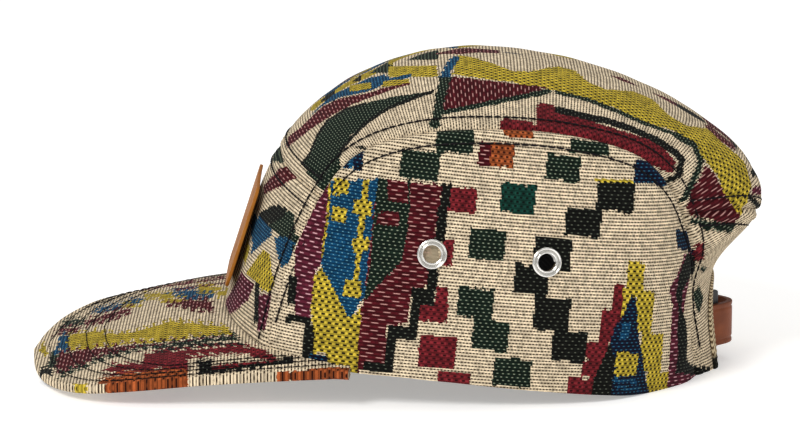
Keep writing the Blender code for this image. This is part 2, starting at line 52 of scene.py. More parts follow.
# Driving sizes, as the solids have them, but for the clearance: here the brim's inner edge
# lies inside the sewn cloth, so that no light shows between them
CROWN_LENGTH = 198.5 * MM
CROWN_HEIGHT = 115.5 * MM
HEM_WIDTH = 152.0 * MM
SIDE_FULLNESS = 7.0 * MM
FULL_DROP = 0.75
BACK_GROOVE = 3.6 * MM
BACK_FLATNESS = 1.0
BRIM_LENGTH = 68.5 * MM
BRIM_DEPTH = 117.0 * MM
BRIM_WIDTH = 157.0 * MM
BRIM_RISE = 10.6 * MM
BRIM_WALL = 3.6 * MM
BRIM_FULLNESS = 1.2 * MM
BRIM_LAP = 2.6 * MM
BRIM_CLEARANCE = -0.8 * MM
OPENING_WIDTH = 28.0 * MM
OPENING_HEIGHT = 31.0 * MM
BINDING_WIDTH = 4.0 * MM

# Cloth
CLOTH_WALL = 1.2 * MM
SKIN_CUTS = 3
WEAVE_CELL = 0.6 * MM
RIB_PITCH = 1.2 * MM
BINDING_RIB = 1.7 * MM
TAPE_RIB = 0.8 * MM

# Stitch rows of the brim
BRIM_ROWS = 4
BRIM_ROW_FIRST = 6.0 * MM
BRIM_ROW_STEP = 7.0 * MM
BRIM_ROW_DIP = 0.45 * MM

# Seams: where the topstitches run and how the cloth dips and swells
STITCH_INSET = 5.5 * MM
SEAM_DIP = 1.3 * MM
STITCH_DIP = 0.45 * MM
SEAM_PUFF = 0.35 * MM
SEAM_TURN = 3.0 * MM

# Stitches, and the height of a stitch line above the smooth surface, in the groove that it pulls
STITCH_LENGTH = 3.1 * MM
STITCH_PITCH = 3.1 * MM
CROWN_THREAD = 0.75 * MM
BRIM_THREAD = 0.45 * MM
STITCH_DROP = 0.12 * MM
STITCH_LIFT = 0.1 * MM
BRIM_STITCH_LIFT = 0.05 * MM

# Leather patch, strap and sweatband
PATCH_WIDTH = 48.0 * MM
PATCH_HEIGHT = 38.6 * MM
PATCH_LOW = 31.3 * MM
PATCH_TOP = 67.8 * MM
PATCH_WALL = 1.2 * MM
PATCH_STAND = 1.1 * MM
PATCH_BEND = 0.2 * MM
STRAP_HEIGHT = 15.4 * MM
STRAP_LOW = 6.5 * MM
STRAP_WALL = 2.2 * MM
STRAP_BOW = 10.6 * MM
STRAP_REACH = 25.0 * MM
STRAP_FREE = 12.6 * MM
STRAP_GAP = 0.6 * MM
STRAP_GROOVE = 0.3 * MM
SWEATBAND_HEIGHT = 24.0 * MM
SWEATBAND_WALL = 0.9 * MM
SWEATBAND_GAP = 1.0 * MM
SWEATBAND_END = 14.6

# Places in the frame
TIP_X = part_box("brim")[0][0]
CROWN_FRONT_X = TIP_X + BRIM_LENGTH
CROWN_MIDDLE_X = CROWN_FRONT_X + 0.47 * CROWN_LENGTH

# Slope of the side panels' ribs, as the cloth is cut
SIDE_RIB_SLOPE = math.radians(5.5)

# Eyelets: x and z of their centres, and the hole that is cut for them
EYELETS = ((CROWN_FRONT_X + 78 * MM, 55.7 * MM), (CROWN_FRONT_X + 118 * MM, 52.2 * MM))
EYELET_CUT = 3.75 * MM

# Camera, at the photograph's angle above the floor
VIEW_TILT = math.radians(12.5)
VIEW_DISTANCE = 1.6
VIEW_TARGET = Vector((1.6 * MM, 0.0, 50.3 * MM))
FOCAL_LENGTH = 196.2
SENSOR_WIDTH = 36.0

# Crown sections, from the front hem over the top to the back hem. Columns: the middle
# line (x, z), the side seam (x, y, z) and the side hem (x, y, z), as shares of the crown's
# length from its front, of half the hem's width and of the crown's height.
SECTIONS = np.array([
    (0.010, 0.173, 0.090, 0.829, 0.147, 0.090, 0.829, 0.147),
    (0.033, 0.312, 0.113, 0.816, 0.307, 0.140, 0.895, 0.140),
    (0.057, 0.442, 0.135, 0.803, 0.429, 0.191, 0.947, 0.128),
    (0.083, 0.576, 0.162, 0.789, 0.537, 0.234, 0.974, 0.118),
    (0.112, 0.680, 0.192, 0.776, 0.636, 0.274, 0.987, 0.111),
    (0.157, 0.785, 0.232, 0.763, 0.734, 0.322, 1.000, 0.106),
    (0.244, 0.893, 0.292, 0.763, 0.802, 0.380, 1.000, 0.095),
    (0.355, 0.968, 0.380, 0.763, 0.840, 0.446, 1.000, 0.083),
    (0.483, 0.998, 0.490, 0.757, 0.848, 0.522, 0.987, 0.066),
    (0.629, 0.963, 0.620, 0.730, 0.829, 0.621, 0.941, 0.043),
    (0.777, 0.881, 0.743, 0.684, 0.771, 0.705, 0.860, 0.021),
    (0.895, 0.772, 0.809, 0.632, 0.679, 0.750, 0.776, 0.007),
    (0.982, 0.650, 0.845, 0.559, 0.545, 0.793, 0.671, 0.000),
    (1.000, 0.516, 0.862, 0.500, 0.416, 0.830, 0.572, 0.000),
    (0.914, 0.312, 0.851, 0.447, 0.258, 0.857, 0.480, 0.000),
    (0.926, 0.000, 0.876, 0.368, 0.000, 0.876, 0.368, 0.000),
])
LAST = len(SECTIONS) - 1
FRONT_SEAM = 4
BACK_SEAM = 12
BACK_SEAM_DIP = 1.2
SIDE_ENDS = (0.03, LAST - 0.03)

# Brim outline from the tip to the rear corner. Columns: distance behind the tip, half width,
# rise of the underside (shares of the brim's own sizes) and the place on the crown's lower
# edge that it faces.
BRIM_OUTLINE = np.array([
    (0.000, 0.000, 0.00, 0.00),
    (0.024, 0.331, 0.00, 0.34),
    (0.073, 0.611, 0.08, 0.62),
    (0.171, 0.828, 0.25, 0.86),
    (0.325, 0.917, 0.47, 1.15),
    (0.530, 0.943, 0.71, 1.90),
    (0.752, 0.958, 0.87, 2.80),
    (0.923, 0.981, 0.96, 3.75),
    (1.000, 1.000, 1.00, 4.35),
])


# Surfaces of the crown and the brim

def smooth_row(table, place):
    """Rows of a table at fractional places, on a smooth curve through its rows."""
    last = len(table) - 1
    place = np.clip(np.asarray(place, float), 0.0, last)
    row = np.minimum(place.astype(int), last - 1)
    share = (place - row)[..., None]
    longer = np.vstack([2 * table[0] - table[1], table, 2 * table[-1] - table[-2]])
    before, start, end, after = (longer[row + step] for step in range(4))
    return ((2 * share**3 - 3 * share**2 + 1) * start
            + (share**3 - 2 * share**2 + share) * (end - before) / 2
            + (3 * share**2 - 2 * share**3) * end
            + (share**3 - share**2) * (after - start) / 2)


def joined(x, y, z):
    """Points from their three coordinates."""
    return np.stack(np.broadcast_arrays(x, y, z), axis=-1)


def length_of(vectors):
    return np.linalg.norm(vectors, axis=-1)


def unit(vectors):
    return vectors / np.maximum(length_of(vectors), 1e-9)[..., None]


def level(vectors):
    """Unit vectors with the rise taken out."""
    return unit(vectors * (1, 1, 0))


def crown_point(x_share, y_share, z_share):
    return joined(CROWN_FRONT_X + x_share * CROWN_LENGTH,
                  y_share * HEM_WIDTH / 2,
                  np.maximum(z_share, 0.0) * CROWN_HEIGHT)


def middle_surface(place, across):
    """Outer face of the middle panels; across runs from -1 to 1 between the side seams."""
    mid_x, mid_z, seam_x, seam_y, seam_z = np.moveaxis(smooth_row(SECTIONS, place)[..., :5], -1, 0)
    bend = np.abs(across) ** (2 + BACK_FLATNESS / (1 + np.exp(10.5 - place)))
    point = crown_point(mid_x + (seam_x - mid_x) * bend, seam_y * across,
                        mid_z + (seam_z - mid_z) * bend)
    groove = np.exp(-((place - 12.7) / 1.1) ** 2 - (across / 0.2) ** 2)
    point[..., 0] -= BACK_GROOVE * groove
    return point


def side_surface(place, down, side):
    """Outer face of a side panel; down runs from 0 at the seam to 1 at the hem."""
    row = np.moveaxis(smooth_row(SECTIONS, place), -1, 0)
    seam = crown_point(row[2], row[3] * side, row[4])
    hem = crown_point(row[5], row[6] * side, row[7])
    down = np.asarray(down, float)[..., None]
    point = seam + (hem - seam) * down
    out = level(joined((point[..., 0] - CROWN_MIDDLE_X) / CROWN_LENGTH**2,
                       point[..., 1] / HEM_WIDTH**2, 0.0))
    drop = np.minimum(length_of(seam - hem) / (FULL_DROP * CROWN_HEIGHT), 1.0)[..., None]
    return point + out * SIDE_FULLNESS * np.sin(math.pi * down) * drop


def slopes(surface, a, b, low, high):
    """How a surface's points move with each of its two parameters, kept inside its range."""
    step = 0.01
    a0, a1 = np.clip(a - step, low[0], high[0]), np.clip(a + step, low[0], high[0])
    b0, b1 = np.clip(b - step, low[1], high[1]), np.clip(b + step, low[1], high[1])
    along = (surface(a1, b) - surface(a0, b)) / (a1 - a0)[..., None]
    across = (surface(a, b1) - surface(a, b0)) / (b1 - b0)[..., None]
    return along, across


def middle_slopes(place, across):
    return slopes(middle_surface, place, across, (0.0, -1.5), (LAST, 1.5))


def middle_normal(place, across):
    along, crosswise = middle_slopes(place, across)
    return unit(np.cross(along, crosswise))


def side_slopes(place, down, side):
    safe_place = np.clip(place, 0.3, LAST - 0.15)
    safe_down = np.clip(down, 0.02, 0.98)
    return slopes(lambda a, b: side_surface(a, b, side), safe_place, safe_down,
                  (0.0, 0.0), (LAST, 1.0))


def side_normal(place, down, side):
    along, downward = side_slopes(place, down, side)
    return unit(np.cross(along, downward)) * side


def seam_normal(place, side):
    """Direction that the two panels beside a side seam share; side is -1 or 1 at each point."""
    shared = unit(middle_normal(place, np.ones_like(place)) + side_normal(place, np.zeros_like(place), 1))
    return shared * joined(1.0, side, 1.0)


def turned_to_seam(normal, place, side, distance):
    """A panel's normals, turned near its side seam so that both panels dip into it together."""
    share = near_edge(distance, SEAM_TURN)[..., None]
    return unit(normal * (1 - share) + seam_normal(place, side) * share)


def back_seam_place(across):
    """Where the seam between the top and back panels crosses."""
    return BACK_SEAM + BACK_SEAM_DIP * (1 - across * across)


def opening_curve(turn, margin):
    """Place and across of the opening's edge; turn runs 0 to 1 from hem to hem."""
    angle = math.pi * turn
    half = (OPENING_WIDTH / 2 + margin) / (SECTIONS[LAST][3] * HEM_WIDTH / 2)
    rise = (OPENING_HEIGHT + margin) / (SECTIONS[LAST - 1][1] * CROWN_HEIGHT)
    across = -half * np.sign(np.cos(angle)) * np.abs(np.cos(angle)) ** 0.7
    return LAST - rise * np.clip(np.sin(angle), 0.0, 1.0) ** 0.8, across


def back_outline(turn):
    """Place and across on the back panel's outer border, from hem to hem round the top."""
    leg = 0.27
    place_left = LAST - (LAST - BACK_SEAM) * np.clip(turn / leg, 0, 1)
    place_right = LAST - (LAST - BACK_SEAM) * np.clip((1 - turn) / leg, 0, 1)
    across = np.clip(2 * (turn - leg) / (1 - 2 * leg) - 1, -1, 1)
    seam = back_seam_place(across)
    return np.maximum(np.maximum(place_left, place_right), np.where(np.abs(across) < 1, seam, 0)), across


def lower_edge(place):
    """Crown's lower edge: 0 to 1 across half the front panel, then along the side hem."""
    front_points = middle_surface(np.zeros_like(place), np.minimum(place, 1.0))
    front_out = level(middle_normal(np.zeros_like(place), np.minimum(place, 1.0)))
    side_place = np.maximum(place - 1, 0.0)
    side_points = side_surface(side_place, np.ones_like(place), 1)
    side_out = level(side_normal(side_place, np.ones_like(place), 1))
    at_front = (place <= 1)[..., None]
    return np.where(at_front, front_points, side_points), np.where(at_front, front_out, side_out)


def brim_rows(facing):
    """Edge point and crown point of the brim's underside at each place that it faces."""
    rows = np.arange(len(BRIM_OUTLINE))
    share = np.interp(np.abs(facing), BRIM_OUTLINE[:, 3], rows)
    behind, half, rise, _ = np.moveaxis(smooth_row(BRIM_OUTLINE, share), -1, 0)
    edge = joined(TIP_X + behind * BRIM_DEPTH, half * BRIM_WIDTH / 2,
                  np.maximum(rise, 0.0) * BRIM_RISE)
    crown, out = lower_edge(np.abs(facing))
    crown = crown + out * BRIM_CLEARANCE
    crown[..., 2] += BRIM_LAP - BRIM_WALL
    side = joined(1.0, np.where(facing < 0, -1.0, 1.0), 1.0)
    fullness = BRIM_FULLNESS * (1 - (share / rows[-1]) ** 2)
    return edge * side, crown * side, fullness


def brim_underside(facing, inward):
    edge, crown, fullness = brim_rows(facing)
    point = edge + (crown - edge) * np.asarray(inward)[..., None]
    point[..., 2] += fullness * np.sin(math.pi * np.clip(inward, 0, 1))
    return point


# Modelling helpers

def smooth_noise(points, wavelength, seed):
    """Soft unevenness between about -1 and 1, the same each run, from a few crossing waves."""
    draw = np.random.default_rng(seed)
    total = np.zeros(points.shape[:-1])
    waves = 7
    for _ in range(waves):
        direction = unit(draw.normal(size=3))
        pitch = wavelength * draw.uniform(0.75, 1.6)
        total += np.sin(points @ direction * 2 * math.pi / pitch + draw.uniform(0, 2 * math.pi))
    return total / math.sqrt(waves) / 1.4


def deselect():
    if bpy.context.object and bpy.context.object.mode != "OBJECT":
        bpy.ops.object.mode_set(mode="OBJECT")
    bpy.ops.object.select_all(action="DESELECT")


def read_points(mesh):
    flat = np.empty(len(mesh.vertices) * 3)
    mesh.vertices.foreach_get("co", flat)
    return flat.reshape(-1, 3)


def write_points(mesh, points):
    mesh.vertices.foreach_set("co", np.ascontiguousarray(points, dtype=np.float32).ravel())
    mesh.update()


def read_floats(mesh, name):
    values = np.empty(len(mesh.vertices))
    mesh.attributes[name].data.foreach_get("value", values)
    return values


def write_floats(mesh, name, values, domain="POINT"):
    layer = mesh.attributes.new(name, "FLOAT", domain)
    layer.data.foreach_set("value", np.ascontiguousarray(values, dtype=np.float32))


def apply_modifiers(piece):
    bpy.context.view_layer.objects.active = piece
    for modifier in list(piece.modifiers):
        bpy.ops.object.modifier_apply(modifier=modifier.name)


def close_rims():
    """In edit mode, bridge the open rims of a wall and turn all its faces outward."""
    bpy.ops.mesh.select_mode(type="EDGE")
    bpy.ops.mesh.select_non_manifold(extend=False, use_wire=False, use_multi_face=False,
                                     use_non_contiguous=False, use_verts=False)
    bpy.ops.mesh.bridge_edge_loops()
    bpy.ops.mesh.select_all(action="SELECT")
    bpy.ops.mesh.normals_make_consistent(inside=False)


def close_tube():
    """In edit mode, join a rolled grid's first and last columns and fill its two ends."""
    bpy.ops.mesh.select_mode(type="VERT")
    bpy.ops.mesh.select_all(action="SELECT")
    bpy.ops.mesh.remove_doubles(threshold=0.001 * MM)
    bpy.ops.mesh.fill_holes(sides=0)
    bpy.ops.mesh.select_all(action="SELECT")
    bpy.ops.mesh.normals_make_consistent(inside=False)


def flat_grid(name, rows, columns):
    """Grid in its own square, with each point's row and column share kept as attributes."""
    deselect()
    bpy.ops.mesh.primitive_grid_add(x_subdivisions=rows, y_subdivisions=columns, size=1.0)
    piece = bpy.context.object
    piece.name = name
    piece.data.name = name
    points = read_points(piece.data)
    write_floats(piece.data, "row", points[:, 0] + 0.5)
    write_floats(piece.data, "column", points[:, 1] + 0.5)
    return piece


def cloth_wall(name, rows, columns, cuts=SKIN_CUTS):
    """Closed wall of two skins; the outer skin is cut finer, to carry the weave's pattern.

    Returns the piece with the attributes row, column and skin, which is 1 outside, 0 inside.
    """
    piece = flat_grid(name, rows, columns)
    outside = len(piece.data.vertices)
    wall = piece.modifiers.new("wall", "SOLIDIFY")
    wall.thickness = 0.01
    wall.offset = -1
    apply_modifiers(piece)
    mesh = piece.data
    skin = np.zeros(len(mesh.vertices))
    skin[:outside] = 1.0
    write_floats(mesh, "skin", skin)
    bpy.ops.object.mode_set(mode="EDIT")
    bpy.ops.mesh.select_mode(type="FACE")
    bpy.ops.mesh.select_all(action="DESELECT")
    bpy.ops.object.mode_set(mode="OBJECT")
    for face in mesh.polygons:
        face.select = all(corner < outside for corner in face.vertices)
    bpy.ops.object.mode_set(mode="EDIT")
    bpy.ops.mesh.subdivide(number_cuts=cuts)
    bpy.ops.object.mode_set(mode="OBJECT")
    return piece


def finish_wall(piece, outer, normal):
    """Put the wall's points in place: the outer skin at its points, the inner one a wall behind."""
    mesh = piece.data
    skin = read_floats(mesh, "skin")
    points = outer - normal * (CLOTH_WALL * (1 - skin))[:, None]
    points[:, 2] = np.maximum(points[:, 2], 0)
    write_points(mesh, points)
    mesh.shade_smooth()
    mesh.set_sharp_from_angle(angle=math.radians(50))


def near_edge(distance, reach):
    """1 at an edge, falling to 0 at some reach from it."""
    return np.exp(-(np.maximum(distance, 0) / reach) ** 2)


def sewn_relief(distance, along):
    """Rise of the cloth beside a sewn seam: rolled into it, full, then pulled in by the stitches.

    Distance is measured from the seam and along follows it, both in metres.
    """
    pucker = 0.6 + 0.4 * np.sin(2 * math.pi * along / (7.3 * MM)) * np.sin(along / (9.1 * MM) + 1.0)
    return (-SEAM_DIP * near_edge(distance, 1.3 * MM)
            + SEAM_PUFF * pucker * near_edge(distance - 3.0 * MM, 1.6 * MM) * (distance > 0)
            - STITCH_DIP * pucker * near_edge(np.abs(distance - STITCH_INSET), 1.2 * MM))


# Panels of the crown

def middle_relief(place, across, point, normal, first, last_seam):
    """Relief of a middle panel from its distances to the seams around it."""
    along, crosswise = middle_slopes(place, across)
    to_side = (1 - np.abs(across)) * length_of(crosswise)
    relief = sewn_relief(to_side, place * 20 * MM)
    row_length = length_of(along)
    if first is not None:
        relief += sewn_relief((place - first) * row_length, across * 60 * MM)
    if last_seam is not None:
        relief += sewn_relief((last_seam - place) * row_length, across * 60 * MM)
    relief += 0.45 * MM * smooth_noise(point, 45 * MM, 3) + 0.12 * MM * smooth_noise(point, 14 * MM, 4)
    return point + turned_to_seam(normal, place, np.sign(across), to_side) * relief[..., None]


def middle_weave(place, across, from_place):
    """Weave coordinates on the middle panels, in metres: across the head, then along it."""
    steps = np.linspace(0, LAST, 600)
    spine = middle_surface(steps, np.zeros_like(steps))
    travelled = np.concatenate([[0], np.cumsum(length_of(np.diff(spine, axis=0)))])
    seam_y = smooth_row(SECTIONS, place)[..., 3] * HEM_WIDTH / 2
    return np.stack([across * seam_y * 1.12,
                     np.interp(place, steps, travelled) - np.interp(from_place, steps, travelled)], axis=-1)


def front_panel():
    piece = cloth_wall("front_cloth", 30, 60)
    row, column = read_floats(piece.data, "row"), read_floats(piece.data, "column")
    place, across = FRONT_SEAM * row, 2 * column - 1
    normal = middle_normal(place, across)
    point = middle_surface(place, across)
    outer = middle_relief(place, across, point, normal, None, FRONT_SEAM)
    finish_wall(piece, outer, normal)
    return piece, point, middle_weave(place, across, FRONT_SEAM)


def top_panel():
    piece = cloth_wall("top_cloth", 90, 52)
    row, column = read_floats(piece.data, "row"), read_floats(piece.data, "column")
    across = 2 * column - 1
    last = back_seam_place(across)
    place = FRONT_SEAM + (last - FRONT_SEAM) * row
    normal = middle_normal(place, across)
    point = middle_surface(place, across)
    outer = middle_relief(place, across, point, normal, FRONT_SEAM, last)
    finish_wall(piece, outer, normal)
    return piece, point, middle_weave(place, across, FRONT_SEAM)


def back_panel():
    piece = cloth_wall("back_cloth", 84, 18)
    turn, outward = read_floats(piece.data, "row"), read_floats(piece.data, "column")
    place_in, across_in = opening_curve(turn, BINDING_WIDTH / 2)
    place_out, across_out = back_outline(turn)
    share = 1 - (1 - outward) ** 1.3
    place = place_in + (place_out - place_in) * share
    across = across_in + (across_out - across_in) * share
    normal = middle_normal(place, across)
    point = middle_surface(place, across)
    along, crosswise = middle_slopes(place, across)
    to_side = (1 - np.abs(across)) * length_of(crosswise)
    to_top = (place - back_seam_place(across)) * length_of(along)
    relief = sewn_relief(to_side, place * 20 * MM) + sewn_relief(to_top, across * 60 * MM)
    relief += 0.4 * MM * smooth_noise(point, 40 * MM, 3)
    dip = turned_to_seam(normal, place, np.sign(across), to_side)
    finish_wall(piece, point + dip * relief[:, None], normal)
    return piece, point, middle_weave(place, across, FRONT_SEAM)


def side_panel(side, side_name):
    piece = cloth_wall(f"side_cloth_{side_name}", 112, 42)
    row, down = read_floats(piece.data, "row"), read_floats(piece.data, "column")
    place = SIDE_ENDS[0] + (SIDE_ENDS[1] - SIDE_ENDS[0]) * row
    normal = side_normal(place, down, side)
    point = side_surface(place, down, side)
    _, downward = side_slopes(place, down, side)
    drop = length_of(downward)
    relief = sewn_relief(down * drop, place * 20 * MM)
    relief += 0.25 * MM * near_edge(np.abs((1 - down) * drop - 14 * MM), 6 * MM)
    relief += 0.45 * MM * smooth_noise(point, 50 * MM, 6) + 0.12 * MM * smooth_noise(point, 14 * MM, 7)
    dip = turned_to_seam(normal, place, side, down * drop)
    finish_wall(piece, point + dip * relief[:, None], normal)
    return piece, point, side_weave(point, side)


def side_weave(point, side):
    """Weave coordinates on a side panel, in metres: round the head, then down it.

    The ribs run down towards the back, as the panel is cut.
    """
    half_length, half_width = 0.5 * CROWN_LENGTH, 0.5 * HEM_WIDTH
    steps = np.linspace(-math.pi, math.pi, 721)
    ring = np.stack([half_length * np.cos(steps), half_width * np.sin(steps)], axis=-1)
    travelled = np.concatenate([[0], np.cumsum(length_of(np.diff(ring, axis=0)))])
    angle = np.arctan2(point[..., 1] * side / half_width, (point[..., 0] - CROWN_MIDDLE_X) / half_length)
    around = -np.interp(angle, steps, travelled)
    down = -1.03 * point[..., 2]
    cos, sin = math.cos(SIDE_RIB_SLOPE), math.sin(SIDE_RIB_SLOPE)
    return np.stack([around * cos + down * sin, down * cos - around * sin], axis=-1)


def brim_piece():
    """Stiffened brim as one closed wall: over the top, round the edge and back underneath."""
    top_columns, edge_columns, under_columns = 78, 8, 22
    columns = top_columns + edge_columns + under_columns
    piece = flat_grid("brim_cloth", 420, columns)
    mesh = piece.data
    row, column = read_floats(mesh, "row"), read_floats(mesh, "column")
    reach = BRIM_OUTLINE[-1][3]
    share = 2 * row - 1
    facing = reach * np.sign(share) * np.abs(share) ** 1.25
    step = column * columns
    on_top = step <= top_columns
    round_edge = (step > top_columns) & (step < top_columns + edge_columns)
    radius = BRIM_WALL / 2
    edge, crown, _ = brim_rows(facing)
    width = length_of(crown - edge)
    inset = np.minimum(radius / np.maximum(width, 1e-6), 0.5)
    top_inward = 1 - (1 - inset) * step / top_columns
    under_inward = inset + (1 - inset) * (step - top_columns - edge_columns) / under_columns
    inward = np.where(on_top, top_inward, np.where(round_edge, inset, under_inward))
    point = brim_underside(facing, inward)
    angle = math.pi * np.clip((step - top_columns) / edge_columns, 0, 1)
    outward = level(edge - crown)
    point[..., 2] += radius * (1 + np.cos(angle))
    point += outward * (radius * np.sin(angle) * round_edge)[:, None]
    point[..., 2] = np.maximum(point[..., 2], 0)
    from_edge = (inward - inset) * width + radius
    relief = np.zeros_like(from_edge)
    for number in range(BRIM_ROWS):
        relief -= BRIM_ROW_DIP * near_edge(np.abs(from_edge - BRIM_ROW_FIRST - number * BRIM_ROW_STEP),
                                           1.2 * MM)
    relief += 0.3 * MM * smooth_noise(point, 34 * MM, 12)
    smooth_height = point[..., 2].copy()
    point[..., 2] += relief * on_top * (inward < 0.97)
    last = column > 1 - 0.5 / columns
    first = np.nonzero(column < 0.5 / columns)[0]
    point[np.nonzero(last)[0][np.argsort(row[last])]] = point[first[np.argsort(row[first])]]
    write_points(mesh, point)
    write_floats(mesh, "smooth_height", smooth_height)
    bpy.ops.object.mode_set(mode="EDIT")
    close_tube()
    bpy.ops.object.mode_set(mode="OBJECT")
    mesh.shade_smooth()
    point = read_points(mesh)
    threads = np.stack([point[:, 1], point[:, 0]], axis=-1)
    point[:, 2] = read_floats(mesh, "smooth_height")
    return piece, point, threads


# Woven pattern

# The pattern is laid out on charts of woven cells, as a weaver draws it. A chart is the cap seen
# from the camera: columns run from the front to the back and rows run down, 1.1 mm each. What
# a chart shows on the wearer's left is mirrored to the right. Later shapes lie over earlier ones.

CHART_CELL = 1.101 * MM
CHART_MIDDLE = (132.4, 74.7)

# Yarns. Columns: colour, colour of the flecks that the crossing yarn leaves, in millimetres the
# flecks' pitch along a rib and the ribs' pitch, the shares of both pitches that a fleck fills,
# and whether the rib's crest runs through the flecks (1) or between their rows (0)
YARNS = {
    "natural": ("#DCC9AA", "#2A1C10", 1.2, 1.2, 0.56, 0.46, 0),
    "cream": ("#E0D0B4", "#4A3826", 1.3, 1.2, 0.44, 0.34, 0),
    "maroon": ("#4A1017", "#CC9A92", 5.1, 1.42, 0.42, 0.20, 1),
    "red": ("#742127", "#26080C", 2.5, 1.5, 0.44, 0.46, 1),
    "plum": ("#521A29", "#D8A8AC", 4.6, 1.5, 0.38, 0.22, 1),
    "green": ("#132018", "#8A947C", 2.0, 1.3, 0.32, 0.24, 1),
    "teal": ("#113A30", "#050D0A", 2.4, 1.5, 0.44, 0.46, 1),
    "black": ("#10110E", "#626658", 2.4, 1.4, 0.24, 0.22, 1),
    "navy": ("#0E1328", "#26647E", 2.0, 1.3, 0.36, 0.26, 1),
    "blue": ("#0B3D5E", "#6AA6B4", 2.1, 1.2, 0.22, 0.22, 1),
    "olive": ("#CCB23A", "#12110A", 2.3, 1.5, 0.54, 0.52, 1),
    "rust": ("#A2522A", "#2A1008", 2.5, 1.5, 0.46, 0.48, 1),
}


def box(yarn, left, right, top, bottom):
    return yarn, "box", ((left, top), (right, bottom)), None


def patch(yarn, *points):
    return yarn, "patch", points, None


def stroke(yarn, width, *points):
    return yarn, "stroke", points, width


def boxes(yarn, *corners):
    return [box(yarn, *corner) for corner in corners]


# Band that runs down beside the back opening, over the seam between the side and the back
BACK_BAND = [
    patch("plum", (221.5, 129.6), (222.3, 117.3), (223.1, 108.1), (223.5, 101.9), (222.3, 96.5),
          (225.4, 90.4), (227.5, 84.2), (231, 84.2), (227, 104), (226, 122), (231.5, 125.8), (226.2, 128.8)),
    patch("black", (228.1, 84.2), (225.6, 91.9), (224.6, 98.1), (225.6, 104.2), (225, 109.6), (225, 117.3),
          (224.2, 124.2), (229.2, 125), (234.6, 125.4), (236.9, 123.1), (229.2, 121.5), (227.7, 119.6),
          (228.1, 112.7), (228.1, 108.1), (226.5, 102.7), (226.8, 97.3), (230.4, 90.4), (230.8, 85.8)),
    patch("navy", (224, 76), (228, 77), (230, 84.2), (225, 83)),
]

